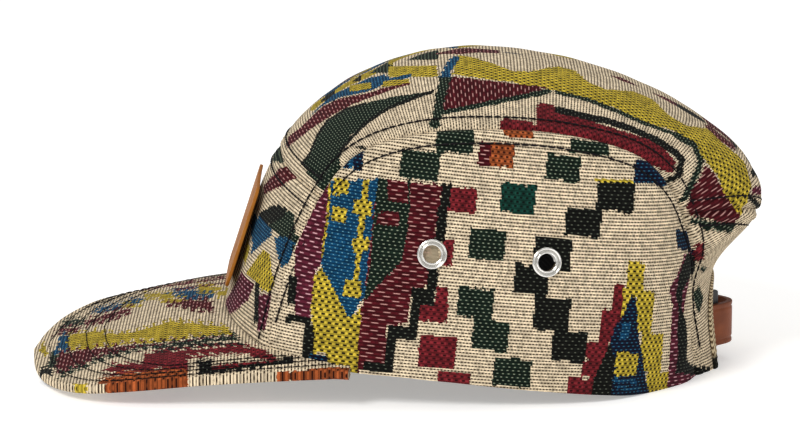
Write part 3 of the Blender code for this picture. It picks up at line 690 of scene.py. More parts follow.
# Side panel: a split shield in front, loose squares in the middle and a stepped tree behind
SIDE_CHART = [
    *boxes("green", (132.5, 145.5, 50, 60), (144.5, 157, 42, 51), (155.5, 167.5, 76.5, 86.5),
           (151.5, 163.5, 96, 106), (156.5, 168.5, 107, 117), (163.5, 176, 119.5, 129),
           (181, 192.5, 51.5, 60.5), (189, 202, 46.5, 51.5)),
    *boxes("teal", (166, 177.5, 61.5, 71)),
    box("maroon", 158.5, 162.5, 47.5, 55.5),
    *boxes("rust", (162.5, 170.5, 47.5, 55.5), (167, 177, 42, 46.2)),
    *boxes("red", (148.5, 158, 62.5, 71), (146.5, 150, 80, 88.5), (144.5, 148.5, 96, 101.5),
           (138.5, 148.5, 100.5, 107), (138.5, 151, 112, 122.5), (145, 156, 124.5, 128)),
    *boxes("black", (198, 210.5, 60.5, 70.5), (187.5, 199.5, 69.5, 79), (177, 189.5, 79.5, 90),
           (170.5, 182, 88.5, 98), (177, 189, 99, 110), (183, 194.5, 110.5, 120.5)),
    stroke("olive", 1.2, (198, 60), (210.5, 60.5)),
    box("navy", 210.5, 221.5, 53.5, 61.5),
    *boxes("navy", (114, 116, 50, 56.5), (117, 120, 49.5, 57)),
    *boxes("blue", (115.5, 117, 51, 56)),
    patch("olive", (103.9, 92.3), (102.5, 101.7), (103.3, 111), (102.5, 117.7), (107.7, 118),
          (108, 122), (118, 124.2), (119.5, 102.7), (115.6, 106.2), (106.2, 88.7)),
    patch("plum", (105.5, 64.3), (109, 61), (108.6, 73.7), (106.2, 87.7), (103.9, 92), (102.2, 105.5),
          (97.1, 104.6), (98.3, 92.3), (97.3, 91.3), (97.8, 84), (101, 76), (104.3, 69.5)),
    patch("blue", (109.3, 60.5), (125, 59.5), (123.7, 73.7), (123, 83), (122, 92.3), (120.3, 99.3),
          (115.6, 106.5), (106.2, 88.7), (107, 82), (108.6, 72.7)),
    patch("maroon", (125, 59.5), (146.4, 61.5), (145.5, 69), (144.1, 77.3), (142.2, 95.2),
          (136.3, 96), (134.7, 108), (128, 108.3), (127.3, 120.7), (118, 124.2), (119.5, 102.7),
          (120.4, 99.4)),
    patch("green", (125, 59.5), (128.2, 59.5), (128.2, 67), (135, 67.5), (135, 60), (135.9, 60),
          (135.6, 70.5), (134.8, 77), (133.3, 86.7), (120.4, 100.3), (122, 92.3), (123, 83),
          (123.7, 73.7)),
    box("maroon", 125, 132, 71, 75),
    *boxes("olive", (110.4, 115.4, 60, 65), (110, 114.8, 69.5, 74), (117, 123, 66.7, 71.4),
           (116.7, 122.2, 79.4, 84), (113.7, 119.5, 93.6, 98.7)),
    patch("olive", (120.2, 60), (122.4, 60), (120.6, 77.3), (118.4, 95), (116.8, 95), (118.4, 77.3)),
    stroke("olive", 0.8, (109.2, 61), (108.6, 73), (106.4, 86)),
    *boxes("black", (146, 149.3, 61.5, 69), (144.6, 147.9, 69, 80.5), (142, 145.4, 80, 90.5),
           (141.7, 144.9, 90.5, 96), (136.3, 144, 96, 101.3), (135.7, 138.5, 101.3, 113),
           (128.3, 137, 108.3, 113.3), (127.3, 130.6, 113, 124.2), (120.2, 127.7, 121, 123.8),
           (95, 97.8, 92.3, 101.7), (94, 102.5, 105.3, 107.8), (100.1, 103.4, 107.8, 120.3)),
    box("navy", 102, 107.9, 118, 121),
    *boxes("red", (203, 206.8, 94.7, 106.2), (199.2, 205.5, 103.1, 114.2), (194.2, 202.5, 114.2, 120),
           (193, 200, 120, 126), (188.4, 197.4, 126, 132)),
    *boxes("olive", (208, 213.7, 87.4, 99), (206.4, 209, 96, 106), (211, 216.8, 97, 111),
           (212.6, 219.8, 111, 124), (214.5, 221.4, 123.8, 134)),
    patch("navy", (209.5, 98.5), (211, 99.3), (211.8, 110), (213.3, 120), (215.8, 134), (203, 134),
          (203.3, 125.3), (204.1, 120), (202.2, 114.2), (204.1, 108.5), (206.4, 106.2), (208, 102.3)),
    patch("black", (202.2, 114.2), (204.1, 120), (203.3, 125.3), (203, 134), (195.5, 134),
          (197.6, 125), (200.3, 119.2)),
    box("olive", 204.1, 211.4, 117.6, 125.3),
    *boxes("blue", (203.6, 211.4, 126.3, 127.6), (205, 212.4, 129, 130.2), (206, 209, 108, 113)),
    *BACK_BAND,
]

# Top and back panels: bands that bend over the head from the front to the back
STRIP_CHART = [
    stroke("olive", 1.0, (103, 36.5), (109, 31.6), (115, 28), (122, 25), (129.5, 21.5)),
    *boxes("green", (121, 130, 21.6, 24.3), (132, 145, 16, 20)),
    *boxes("black", (105, 110.4, 29, 33.8), (113, 119, 24, 27)),
    box("olive", 128.5, 145, 22.1, 25.8),
    patch("blue", (101.4, 39.7), (106.2, 34.9), (110.4, 31.2), (115.2, 29), (122.1, 25.8), (127.4, 24.8),
          (129, 26.1), (135.9, 24.5), (135.9, 25.8), (126.9, 28), (123.2, 30.1), (112, 32.5), (106.7, 35.2)),
    patch("olive", (115.2, 28.4), (123.2, 27.4), (123.2, 29.4), (115.2, 30.6)),
    patch("olive", (126.3, 27.2), (135.9, 26.2), (135.9, 28), (126.3, 29.2)),
    patch("maroon", (94.5, 46), (99.8, 41.8), (106.7, 35.4), (112, 32.8), (123.2, 30.6), (127.4, 29.3),
          (135.4, 27.7), (135.4, 28.5), (128, 30.6), (116.3, 34.9), (110.4, 38), (103, 42.9), (94.5, 49.2)),
    patch("green", (144.4, 30.6), (132.7, 32), (123.2, 33.8), (115.2, 36.5), (108.3, 39.7), (104.6, 45),
          (101.9, 50.8), (99, 54.6), (106.7, 64.1), (109.3, 60.4), (112, 56.2), (113, 49.8), (115.7, 45),
          (121, 40.7), (128.5, 36.5), (136.5, 33.3)),
    stroke("black", 0.8, (99, 54.6), (101.9, 51.5), (104.6, 45.5), (108.3, 40.2), (114.6, 36.3), (121, 34.5)),
    stroke("black", 1.1, (112.5, 50), (116.8, 45), (121, 40.7), (125.3, 38.1), (129, 35.9), (138, 32.5),
           (143.4, 30.9)),
    stroke("black", 0.8, (124, 48.3), (131, 47.3), (134, 45.5)),
    stroke("black", 0.8, (118, 49), (120.3, 49)),
    patch("maroon", (144.5, 17.4), (147.5, 15.6), (156, 14.8), (165.4, 16.7), (165.7, 17.8), (158.7, 17.4),
          (153.4, 18.2), (144.5, 18)),
    stroke("green", 1.2, (146.7, 15.2), (151, 14.2), (155, 14.4)),
    stroke("navy", 1.2, (167, 16.6), (174, 17.4)),
    stroke("maroon", 1.4, (179.5, 18.2), (190, 19.8), (199.7, 21.9)),
    stroke("olive", 1.4, (200, 21.8), (205.7, 24)),
    stroke("maroon", 1.4, (200.5, 23.4), (207, 26.4), (214.6, 28.6), (224.3, 34.2)),
    stroke("green", 1.0, (211.6, 26.6), (218.4, 30)),
    stroke("black", 1.3, (225, 34.6), (234.8, 40.5)),
    stroke("maroon", 2.0, (235, 42.3), (243.5, 49.2)),
    stroke("black", 1.4, (244.5, 48.6), (249, 52.6)),
    *boxes("black", (249.4, 252.8, 54.6, 59)),
    *boxes("plum", (250, 253.6, 62, 65)),
    stroke("black", 1.8, (248.4, 65.5), (252.7, 69.5)),
    patch("olive", (152.3, 18.6), (156.4, 19.3), (162.4, 21.2), (169.9, 24.1), (175.8, 24.1), (184.8, 22.3),
          (190.7, 23.8), (195.2, 27.8), (201.2, 30.1), (210.9, 30.4), (216.9, 33), (222.1, 38.3), (228.1, 42),
          (234.8, 42.7), (239.3, 47.2), (244.5, 51.6), (247.5, 54.6), (249.7, 62), (248.2, 66.5),
          (246.7, 71.7), (244.5, 70.2), (240.7, 65), (237.8, 58.3), (234, 53.9), (229.6, 47.9), (225.1, 44.2),
          (218.4, 42), (211.6, 39.4), (203.4, 35.7), (195.2, 32.7), (184.8, 30.1), (177.3, 29), (169.9, 27.5),
          (162.4, 26.7), (149.7, 25.2)),
    patch("maroon", (148.2, 25.6), (181.8, 29), (173.6, 31.6), (164.6, 33), (156.4, 34.9), (146.7, 36.8)),
    stroke("green", 1.6, (146.7, 37.5), (156.4, 35.6), (164.6, 33.8), (173.6, 31.9), (181.8, 30.3)),
    patch("green", (145.5, 25.8), (150, 25.8), (147.5, 33), (146.6, 37), (145.3, 42.5), (141.8, 42.5),
          (143.2, 38), (144.2, 33)),
    patch("blue", (145.6, 26), (147.8, 21.5), (150, 18.9), (152.5, 19), (150.5, 22), (149.2, 26)),
    stroke("green", 1.2, (184.8, 30.6), (195.2, 33.2), (204.2, 36.8), (214.6, 41.2), (224.3, 45)),
    stroke("green", 2.0, (224.3, 45), (230.3, 48.7), (232.5, 53.9), (229.6, 61.3), (226.6, 66.5)),
    patch("red", (178.4, 33.8), (184, 34.5), (184.8, 37.1), (192.2, 39), (201.9, 42), (208.7, 44.2),
          (214.6, 46.1), (220.6, 49.4), (224.3, 53.9), (223.6, 57.6), (221.3, 57.6), (216.9, 54.6),
          (210.1, 51.6), (204.2, 49.4), (196.7, 47.5), (190.7, 46.4), (177.3, 43.1), (177.7, 39.7)),
    patch("red", (165.4, 42), (166.9, 39), (171.3, 39.4), (177.3, 40.5), (177.3, 43.5), (172.8, 42.7),
          (166.9, 44.2)),
    stroke("black", 2.2, (184.8, 36.2), (192.2, 38), (201.9, 40.2), (208.7, 42.5), (217.6, 46.4),
           (224.3, 50.9), (226.2, 53.5), (225.4, 58), (222.8, 60)),
    patch("maroon", (234, 55.4), (237, 57.6), (240.7, 65), (246, 71.7), (243.7, 74.7), (237, 73.2),
          (229.6, 71.7), (227.3, 69.5), (229.6, 63.5)),
    patch("green", (229.6, 72.5), (244.5, 74.7), (243, 77.7), (233.3, 76.2), (228.8, 73.9)),
    *boxes("red", (230.5, 234, 81, 87)),
    patch("green", (230.3, 98), (232, 95), (233.7, 99), (232.5, 104.7), (231, 102)),
    patch("green", (236.7, 114.3), (238.2, 115), (238, 118), (236.9, 117)),
    *BACK_BAND,
    patch("green", (232.3, 89.5), (233.6, 88.5), (234.6, 89.3), (233.4, 91.4)),
    patch("navy", (248.5, 76.5), (248, 78.5), (244, 84), (242, 84), (242.5, 81), (246, 78)),
]

# Front panel, nearly edge-on to the camera
FRONT_CHART = [
    patch("green", (89.5, 54), (91.5, 49.8), (94, 47.5), (94, 54)),
    box("black", 95, 98.7, 48.2, 51.4),
    patch("maroon", (87.1, 64.8), (86.8, 62.3), (88.6, 59.6), (96, 53.2), (98.5, 57), (96.7, 59.6),
          (91.3, 62.8)),
    patch("green", (89.5, 72.1), (94, 69.9), (97.1, 71.5), (96.7, 75.7), (98.5, 79.3), (97.1, 81.5),
          (93.1, 78.8), (88.6, 75.7)),
    patch("black", (85.1, 71.3), (90.6, 68.1), (94.9, 69.5), (93.1, 72.6), (90, 74.5), (86.4, 75.3)),
    patch("blue", (83.7, 70.8), (86, 73), (90.4, 77.9), (86.4, 81.5), (82.8, 85.1),
          (83.5, 81.5), (82.4, 75.7)),
    patch("blue", (90.4, 79.3), (94, 78.8), (98.5, 82), (96.7, 85.1), (92.7, 89.6), (91.3, 84.6)),
    patch("olive", (87.3, 82.9), (89.1, 85.5), (89.5, 90.4), (90.2, 94.9), (88.6, 97.6), (86, 96.7),
          (85.1, 93.6), (81.3, 91.3)),
    patch("olive", (81.6, 79), (82.6, 83), (81, 88.5), (80, 86)),
    patch("plum", (79.7, 90.4), (84.2, 94.5), (81.9, 100.3), (78.4, 103.4), (73, 106.1), (72.3, 105.6),
          (74.3, 100.3)),
    patch("plum", (85.5, 98.5), (89.5, 97.6), (88.9, 102.5), (87.3, 110), (84.6, 110), (85.1, 107)),
    stroke("black", 1.5, (85, 94.5), (84.4, 107)),
    *boxes("black", (96, 98.5, 82, 91), (93.5, 98.5, 91, 96), (95.5, 98.5, 96, 105), (94, 103, 105.2, 108.3)),
]

# Brim, drawn as its top and edge show; both halves of its top are in view, so it isn't mirrored
BRIM_CHART = [
    stroke("green", 0.8, (50, 95.2), (76, 91.2)),
    stroke("maroon", 0.7, (57, 93.8), (76, 90.4)),
    stroke("maroon", 1.0, (39.9, 97), (52.9, 95.6), (76, 92.3)),
    stroke("maroon", 0.9, (57.2, 96.7), (78.2, 93.6)),
    stroke("black", 1.1, (26.2, 102.1), (32, 100.3)),
    stroke("black", 1.1, (33.4, 100.3), (40.6, 98.1)),
    patch("blue", (29.1, 104.6), (30.5, 102.8), (39.2, 101.4), (41.4, 99.9), (47.9, 99.6), (55.8, 97.4),
          (64.5, 96.7), (70.3, 96.7), (71, 98.8), (65.9, 99.9), (61.6, 99.9), (57.2, 98.8), (51.5, 98.8),
          (45.7, 101.4), (39.9, 102.8), (35.6, 103.9)),
    *boxes("olive", (65.2, 71.7, 95.6, 97.8), (47.1, 56.5, 98.1, 100.3), (52.9, 61.6, 99.6, 101),
           (39.9, 46.4, 101.6, 102.8), (71.7, 76, 97, 99.6)),
    patch("maroon", (52.2, 102.1), (61.6, 99.9), (70.3, 100.3), (70.3, 102.8), (71.7, 104.3), (61.6, 103.9),
          (60.5, 102.5)),
    patch("maroon", (26.9, 109.7), (28.3, 106.8), (35.6, 104.6), (43.5, 102.8), (43.5, 104.3), (38.5, 106.4),
          (30.5, 108.6)),
    patch("green", (18.6, 109.7), (21.1, 106.8), (27.6, 106.1), (27.3, 108.2)),
    patch("maroon", (16.1, 112.2), (19, 109.7), (26.9, 109), (26.2, 110.8), (21.1, 111.8)),
    patch("blue", (17.1, 118.4), (19.3, 112.2), (22.6, 111.8), (21.1, 117.6)),
    box("olive", 12.8, 14.6, 115.5, 119),
    patch("green", (14.6, 122), (16.1, 118.4), (19, 118.4), (18.2, 122.7)),
    box("black", 12.6, 16.8, 122.7, 126),
    patch("olive", (21.1, 116.9), (22.6, 111.8), (30.5, 110.4), (39.2, 111.5), (47.1, 109.7), (55.8, 107.2),
          (64.5, 107.9), (69.5, 108.6), (73.9, 109), (76.8, 111.8), (68.1, 112.2), (53.6, 113.7),
          (42.8, 114.4), (34.1, 115.5), (24.7, 116.9)),
    patch("maroon", (17.5, 124.1), (18.2, 119.1), (21.1, 117.6), (34.1, 116), (42.8, 114.8), (53.6, 114.1),
          (68.1, 112.5), (77.5, 111.9), (77.5, 112.6), (57.2, 115.5), (42.8, 117.6), (34.1, 118.4),
          (27.6, 121.2), (21.1, 124.1)),
    stroke("green", 1.3, (18.6, 125.6), (25.5, 123), (34.1, 119.4), (41.4, 117.3), (47.1, 115.8),
           (57.2, 114.7), (77.5, 112.8)),
    stroke("black", 1.1, (50.7, 117.4), (57.2, 116.2), (68.1, 115.1), (79.6, 114.7)),
    patch("red", (32.7, 125.6), (35.6, 122), (46.4, 121.2), (47.1, 117.6), (53.6, 117.6), (61.6, 116.9),
          (78.9, 115.6), (86.1, 116.7), (93.4, 121.2), (91.9, 120.9), (83.3, 119.8), (81.8, 118.4),
          (76, 118.7), (63, 119.4), (61.6, 119.8), (61.6, 123.4), (39.2, 124.6)),
    patch("rust", (31.2, 127), (39.2, 124.9), (61.6, 123.4), (61.6, 128.8), (35.6, 129.9), (32, 128.5)),
    patch("black", (64.8, 120.5), (69.5, 120.2), (69.5, 124.9), (64.8, 124.9)),
    patch("red", (69.5, 122), (83.3, 121.2), (93.4, 120.5), (92.7, 122), (78.9, 122.7), (69.5, 124.1)),
    stroke("black", 1.5, (68.8, 124.5), (78.9, 123), (89.8, 122), (95.5, 120.9)),
    box("black", 93.4, 97, 119.4, 122),
    patch("rust", (83.3, 128.5), (91.2, 125.6), (107.8, 123), (116.5, 123.4), (117.9, 125.6), (109.3, 126.7),
          (93.4, 128.1)),
    *boxes("olive", (24, 28.4, 129, 132), (47.9, 55.8, 130, 133), (107.8, 113.6, 127.8, 131)),
    *boxes("blue", (37, 47.9, 130, 133), (77.5, 82.5, 128.8, 132)),
    box("black", 82.5, 86.2, 128.6, 132),
]


def inside(points, corners):
    """Which points lie inside a closed outline."""
    found = np.zeros(len(points), bool)
    x, y = points[:, 0], points[:, 1]
    for (x0, y0), (x1, y1) in zip(corners, corners[1:] + corners[:1]):
        crosses = (y0 > y) != (y1 > y)
        if y0 != y1:
            found ^= crosses & (x < x0 + (x1 - x0) * (y - y0) / (y1 - y0))
    return found


def near_line(points, corners, width):
    """Which points lie within half a width of a line."""
    found = np.zeros(len(points), bool)
    for start, end in zip(corners, corners[1:]):
        start, run = np.array(start), np.subtract(end, start)
        share = np.clip((points - start) @ run / (run @ run), 0, 1)
        found |= length_of(points - start - share[:, None] * run) < width / 2
    return found


def chart_places(point, mirrored):
    """Column and row on the charts of points on the cap."""
    across = point[:, 0] - VIEW_TARGET.x
    away = -np.abs(point[:, 1]) if mirrored else point[:, 1]
    rise = point[:, 2] - VIEW_TARGET.z
    cos, sin = math.cos(VIEW_TILT), math.sin(VIEW_TILT)
    nearness = 1 / (1 + (away * cos - rise * sin) / VIEW_DISTANCE) / CHART_CELL
    return np.stack([CHART_MIDDLE[0] + across * nearness,
                     CHART_MIDDLE[1] - (rise * cos + away * sin) * nearness], axis=-1)


def yarn_of(places, chart, slope):
    """Number of the yarn at each place of a chart; upright shapes lean with the ribs' slope."""
    names = list(YARNS)
    found = np.zeros(len(places), int)
    cos, sin = math.cos(slope), math.sin(slope)
    for yarn, kind, corners, width in chart:
        if kind == "box":
            (left, top), (right, bottom) = corners
            off = places - ((left + right) / 2, (top + bottom) / 2)
            along, down = off[:, 0] * cos + off[:, 1] * sin, off[:, 1] * cos - off[:, 0] * sin
            hit = (np.abs(along) < (right - left) / 2) & (np.abs(down) < (bottom - top) / 2)
        elif kind == "patch":
            hit = inside(places, list(corners))
        else:
            hit = near_line(places, list(corners), width)
        found[hit] = names.index(yarn)
    return found


def face_means(mesh, values):
    """Mean over each face's corners of what is known at the points."""
    corners = np.empty(len(mesh.loops), int)
    mesh.loops.foreach_get("vertex_index", corners)
    totals = np.empty(len(mesh.polygons), int)
    mesh.polygons.foreach_get("loop_total", totals)
    faces = np.repeat(np.arange(len(totals)), totals)
    sums = np.stack([np.bincount(faces, values[corners, part], minlength=len(totals))
                     for part in range(values.shape[1])], axis=-1)
    return sums / totals[:, None], faces, corners


def weave(piece, point, thread, chart, slope=0.0, mirrored=True):
    """Give a piece its weave coordinates, and each face the yarn of its woven cell."""
    mesh = piece.data
    known = np.concatenate([thread, chart_places(point, mirrored)], axis=-1)
    means, faces, corners = face_means(mesh, known)
    cell = np.floor(means[:, :2] / (WEAVE_CELL, RIB_PITCH)).astype(int)
    _, cell = np.unique(cell, axis=0, return_inverse=True)
    cell = cell.ravel()
    counts = np.bincount(cell)
    places = np.stack([np.bincount(cell, means[:, part]) / counts for part in (2, 3)], axis=-1)
    numbers = yarn_of(places, chart, slope)[cell][faces]

    rows = list(YARNS.values())
    for name, column, extra in (("yarn", 0, 6), ("fleck", 1, 5)):
        colours = np.array([(*linear(row[column])[:3], row[extra]) for row in rows], dtype=np.float32)
        layer = mesh.color_attributes.new(name, "FLOAT_COLOR", "CORNER")
        layer.data.foreach_set("color", colours[numbers].ravel())
    bindings = np.array([row[2:5] for row in rows], dtype=np.float32)
    layer = mesh.attributes.new("binding", "FLOAT_VECTOR", "CORNER")
    layer.data.foreach_set("vector", bindings[numbers].ravel())
    mesh.uv_layers[0].name = "weave"
    mesh.uv_layers[0].data.foreach_set("uv", thread[corners].astype(np.float32).ravel())


# Materials

def linear(colour):
    """Linear red, green, blue and alpha of a colour that is written as in sRGB hex."""
    parts = [int(colour[place:place + 2], 16) / 255 for place in (1, 3, 5)]
    return (*(part / 12.92 if part <= 0.04045 else ((part + 0.055) / 1.055) ** 2.4 for part in parts), 1.0)


def feed(tree, node, feeds):
    """Give each named input of a node its value, or the output that feeds it."""
    for key, value in feeds.items():
        if isinstance(value, bpy.types.NodeSocket):
            tree.links.new(value, node.inputs[key])
        else:
            node.inputs[key].default_value = value


def add_node(tree, kind, feeds=None, **settings):
    """Add a node with its settings, and feed its inputs."""
    made = tree.nodes.new(kind)
    for key, value in settings.items():
        setattr(made, key, value)
    feed(tree, made, feeds or {})
    return made


def new_material(name):
    """Material with its node tree and shader, and the place on the piece that its patterns read."""
    made = bpy.data.materials.new(name)
    made.use_nodes = True
    tree = made.node_tree
    place = add_node(tree, "ShaderNodeTexCoord").outputs["Object"]
    return made, tree, tree.nodes["Principled BSDF"], place


# How the jacquard's shade and height come about. A row is a result's name, a kind of node, or the
# operation of a Math node, and what feeds it: numbers, or results from above. Pitches are in
# millimetres. The colour carries painted shade across each rib: lighter on its crest, darker in the
# grooves between ribs. Each float between two flecks also has its own tone, at random.
WEAVE_STEPS = (
    ("down in mm", "DIVIDE", ("down", MM)),
    ("rib", "DIVIDE", ("down in mm", "rib pitch")),
    ("rib number", "FLOOR", ("rib",)),
    ("wander", "ShaderNodeTexWhiteNoise", {"W": "rib number"}, {"noise_dimensions": "1D"}),
    ("across in mm", "DIVIDE", ("across", MM)),
    ("even pick", "DIVIDE", ("across in mm", "pick pitch")),
    ("odd rib", "MODULO", ("rib number", 2.0)),
    ("half step", "MULTIPLY", ("odd rib", 0.5)),
    ("stepped pick", "ADD", ("even pick", "half step")),
    ("drift", "MULTIPLY", ("wander", 0.3)),
    ("pick", "ADD", ("stepped pick", "drift")),
    ("pick share", "FRACT", ("pick",)),
    ("pick side", "SUBTRACT", ("pick share", 0.5)),
    ("off pick", "ABSOLUTE", ("pick side",)),
    ("rib share", "FRACT", ("rib",)),
    ("rib side", "SUBTRACT", ("rib share", 0.5)),
    ("off rib", "ABSOLUTE", ("rib side",)),
    ("half fleck length", "MULTIPLY", ("fleck length", 0.5)),
    ("inside its end", "SUBTRACT", ("half fleck length", "off pick")),
    ("in length", "ShaderNodeMapRange", {0: "inside its end", 1: -0.06, 2: 0.06}),
    ("half fleck width", "MULTIPLY", ("fleck width", 0.5)),
    ("inside its side", "SUBTRACT", ("half fleck width", "off rib")),
    ("in width", "ShaderNodeMapRange", {0: "inside its side", 1: -0.07, 2: 0.07}),
    ("fleck", "MULTIPLY", ("in length", "in width")),
    # painted shade: the colour darkens from each rib's crest into the groove beside it
    ("trough", "MULTIPLY", ("off rib", 2.0)),
    ("ridge", "SUBTRACT", (1.0, "trough")),
    ("crest", "ShaderNodeMix", {0: "crest at flecks", 2: "trough", 3: "ridge"}),
    ("lit crest", "ShaderNodeMapRange", {0: "crest", 1: 0.0, 2: 0.65, 3: 0.36, 4: 1.05}),
    ("pick number", "FLOOR", ("pick",)),
    ("float", "ShaderNodeCombineXYZ", {0: "pick number", 1: "rib number"}),
    ("chance", "ShaderNodeTexWhiteNoise", {"Vector": "float"}, {"noise_dimensions": "2D"}),
    ("float range", "MULTIPLY", ("chance", 0.6)),
    ("float shade", "ADD", ("float range", 0.62)),
    ("lit float", "MULTIPLY", ("lit crest", "float shade")),
    ("fuzz range", "MULTIPLY", ("fuzz", 1.2)),
    ("fuzz shade", "ADD", ("fuzz range", 0.4)),
    ("shade", "MULTIPLY", ("lit float", "fuzz shade")),
    ("fleck rise", "MULTIPLY", ("fleck", 0.35)),
    ("woven height", "ADD", ("crest", "fleck rise")),
    ("fuzz rise", "MULTIPLY", ("fuzz", 0.6)),
    ("height", "ADD", ("woven height", "fuzz rise")),
)


def jacquard(name, face_colour):
    """Jacquard-woven cotton: matt ribs with a soft fuzz, dotted by the yarn that crosses them.

    The ribs and flecks are drawn at their real pitch. On the reverse the colours are muted.
    """
    made, tree, shader, _ = new_material(name)
    thread = add_node(tree, "ShaderNodeUVMap", uv_map="weave").outputs["UV"]
    place = add_node(tree, "ShaderNodeSeparateXYZ", {0: thread}).outputs
    binding = add_node(tree, "ShaderNodeAttribute", attribute_name="binding").outputs["Vector"]
    sizes = add_node(tree, "ShaderNodeSeparateXYZ", {0: binding}).outputs
    yarn = add_node(tree, "ShaderNodeAttribute", attribute_name="yarn").outputs
    crossing = add_node(tree, "ShaderNodeAttribute", attribute_name="fleck").outputs
    fuzz = add_node(tree, "ShaderNodeTexNoise", {"Vector": thread, "Scale": 1 / (0.5 * MM), "Detail": 3.0})
    known = {"across": place["X"], "down": place["Y"], "fuzz": fuzz.outputs[0],
             "pick pitch": sizes["X"], "rib pitch": sizes["Y"], "fleck length": sizes["Z"],
             "fleck width": crossing["Alpha"], "crest at flecks": yarn["Alpha"]}
    for result, kind, feeds, *settings in WEAVE_STEPS:
        if isinstance(feeds, tuple):
            kind, feeds, settings = "ShaderNodeMath", dict(enumerate(feeds)), [{"operation": kind}]
        feeds = {key: known.get(value, value) for key, value in feeds.items()}
        known[result] = add_node(tree, kind, feeds, **dict(*settings)).outputs[0]

    shaded = add_node(tree, "ShaderNodeVectorMath", {0: yarn["Color"], "Scale": known["shade"]},
                      operation="SCALE").outputs[0]
    colour = add_node(tree, "ShaderNodeMix", {0: known["fleck"], 6: shaded, 7: crossing["Color"]},
                      data_type="RGBA").outputs[2]
    if face_colour:
        colour = add_node(tree, "ShaderNodeMix", {0: 0.6, 6: colour, 7: linear(face_colour)},
                          data_type="RGBA").outputs[2]
    bump = add_node(tree, "ShaderNodeBump", {"Height": known["height"], "Strength": 0.9,
                                             "Distance": 0.3 * MM})
    feed(tree, shader, {"Base Color": colour, "Normal": bump.outputs[0], "Roughness": 0.95,
                        "Specular IOR Level": 0.08, "Sheen Weight": 0.02})
    return made


def twill_tape():
    """Cotton twill tape: black and matt, with fine ribs that run slantwise across the tape."""
    made, tree, shader, place = new_material("cotton_twill_tape")
    turned = add_node(tree, "ShaderNodeMapping", {"Vector": place, "Rotation": (0.4, 0.7, 0.5)}).outputs[0]
    ribs = add_node(tree, "ShaderNodeTexWave", {"Vector": turned, "Scale": 0.5 / TAPE_RIB / 3.1,
                                                "Distortion": 0.4, "Detail": 1.0}).outputs[1]
    fuzz = add_node(tree, "ShaderNodeTexNoise", {"Vector": place, "Scale": 1 / (0.6 * MM)}).outputs[0]
    # painted shade: the tape's colour is darker between its ribs and lighter on them
    shade = add_node(tree, "ShaderNodeMapRange", {"Value": ribs, "To Min": 0.55, "To Max": 1.15}).outputs[0]
    tinted = add_node(tree, "ShaderNodeVectorMath", {0: linear("#17171A")[:3], "Scale": shade},
                      operation="SCALE").outputs[0]
    height = add_node(tree, "ShaderNodeMath", {0: ribs, 1: fuzz}, operation="ADD").outputs[0]
    bump = add_node(tree, "ShaderNodeBump", {"Height": height, "Strength": 0.7, "Distance": 0.15 * MM})
    feed(tree, shader, {"Base Color": tinted, "Normal": bump.outputs[0], "Roughness": 0.85,
                        "Specular IOR Level": 0.25})
    return made


def bias_binding():
    """Jacquard cotton cut on the bias: raised pale ribs that run slantwise, dark brown between them.

    The strip's lower end falls on a black stripe of the cloth.
    """
    made, tree, shader, place = new_material("cotton_bias_binding")
    slant = add_node(tree, "ShaderNodeAttribute", attribute_name="slant").outputs["Fac"]
    turns = add_node(tree, "ShaderNodeMath", {0: slant, 1: 2 * math.pi / BINDING_RIB}, operation="MULTIPLY")
    rib = add_node(tree, "ShaderNodeMath", {0: turns.outputs[0]}, operation="SINE").outputs[0]
    fuzz = add_node(tree, "ShaderNodeTexNoise", {"Vector": place, "Scale": 1 / (0.6 * MM), "Detail": 3.0})
    height = add_node(tree, "ShaderNodeMath", {0: rib, 1: fuzz.outputs[0]}, operation="ADD").outputs[0]
    share = add_node(tree, "ShaderNodeMapRange", {0: height, 1: -0.3, 2: 0.9}).outputs[0]
    ribbed = add_node(tree, "ShaderNodeMix", {0: share, 6: linear("#57432E"), 7: linear("#D2BF9C")},
                      data_type="RGBA").outputs[2]
    rise = add_node(tree, "ShaderNodeSeparateXYZ", {0: place}).outputs["Z"]
    above = add_node(tree, "ShaderNodeMapRange", {0: rise, 1: 4 * MM, 2: 6 * MM}).outputs[0]
    colour = add_node(tree, "ShaderNodeMix", {0: above, 6: linear("#161612"), 7: ribbed},
                      data_type="RGBA").outputs[2]
    bump = add_node(tree, "ShaderNodeBump", {"Height": height, "Strength": 0.8, "Distance": 0.25 * MM})
    feed(tree, shader, {"Base Color": colour, "Normal": bump.outputs[0], "Roughness": 0.95,
                        "Specular IOR Level": 0.08})
    return made


def leather(name, colour, worn, roughness):
    """Vegetable-tanned leather: satin, with a pebbled grain and shades that wander."""
    made, tree, shader, place = new_material(name)
    clouds = add_node(tree, "ShaderNodeTexNoise", {"Vector": place, "Scale": 1 / (9 * MM),
                                                   "Detail": 5.0}).outputs[0]
    mottled = add_node(tree, "ShaderNodeMapRange", {"Value": clouds, "From Min": 0.35,
                                                    "From Max": 0.7}).outputs[0]
    colour_mix = add_node(tree, "ShaderNodeMix", {"Factor": mottled, 6: linear(colour), 7: linear(worn)},
                          data_type="RGBA").outputs[2]
    grain = add_node(tree, "ShaderNodeTexVoronoi", {"Vector": place, "Scale": 1 / (0.7 * MM)}).outputs[0]
    fine = add_node(tree, "ShaderNodeTexNoise", {"Vector": place, "Scale": 1 / (0.3 * MM)}).outputs[0]
    height = add_node(tree, "ShaderNodeMath", {0: grain, 1: fine}, operation="ADD").outputs[0]
    bump = add_node(tree, "ShaderNodeBump", {"Height": height, "Strength": 0.35, "Distance": 0.12 * MM})
    rough = add_node(tree, "ShaderNodeMapRange", {"Value": clouds, "To Min": roughness - 0.08,
                                                  "To Max": roughness + 0.1}).outputs[0]
    feed(tree, shader, {"Base Color": colour_mix, "Normal": bump.outputs[0], "Roughness": rough,
                        "Specular IOR Level": 0.22})
    return made


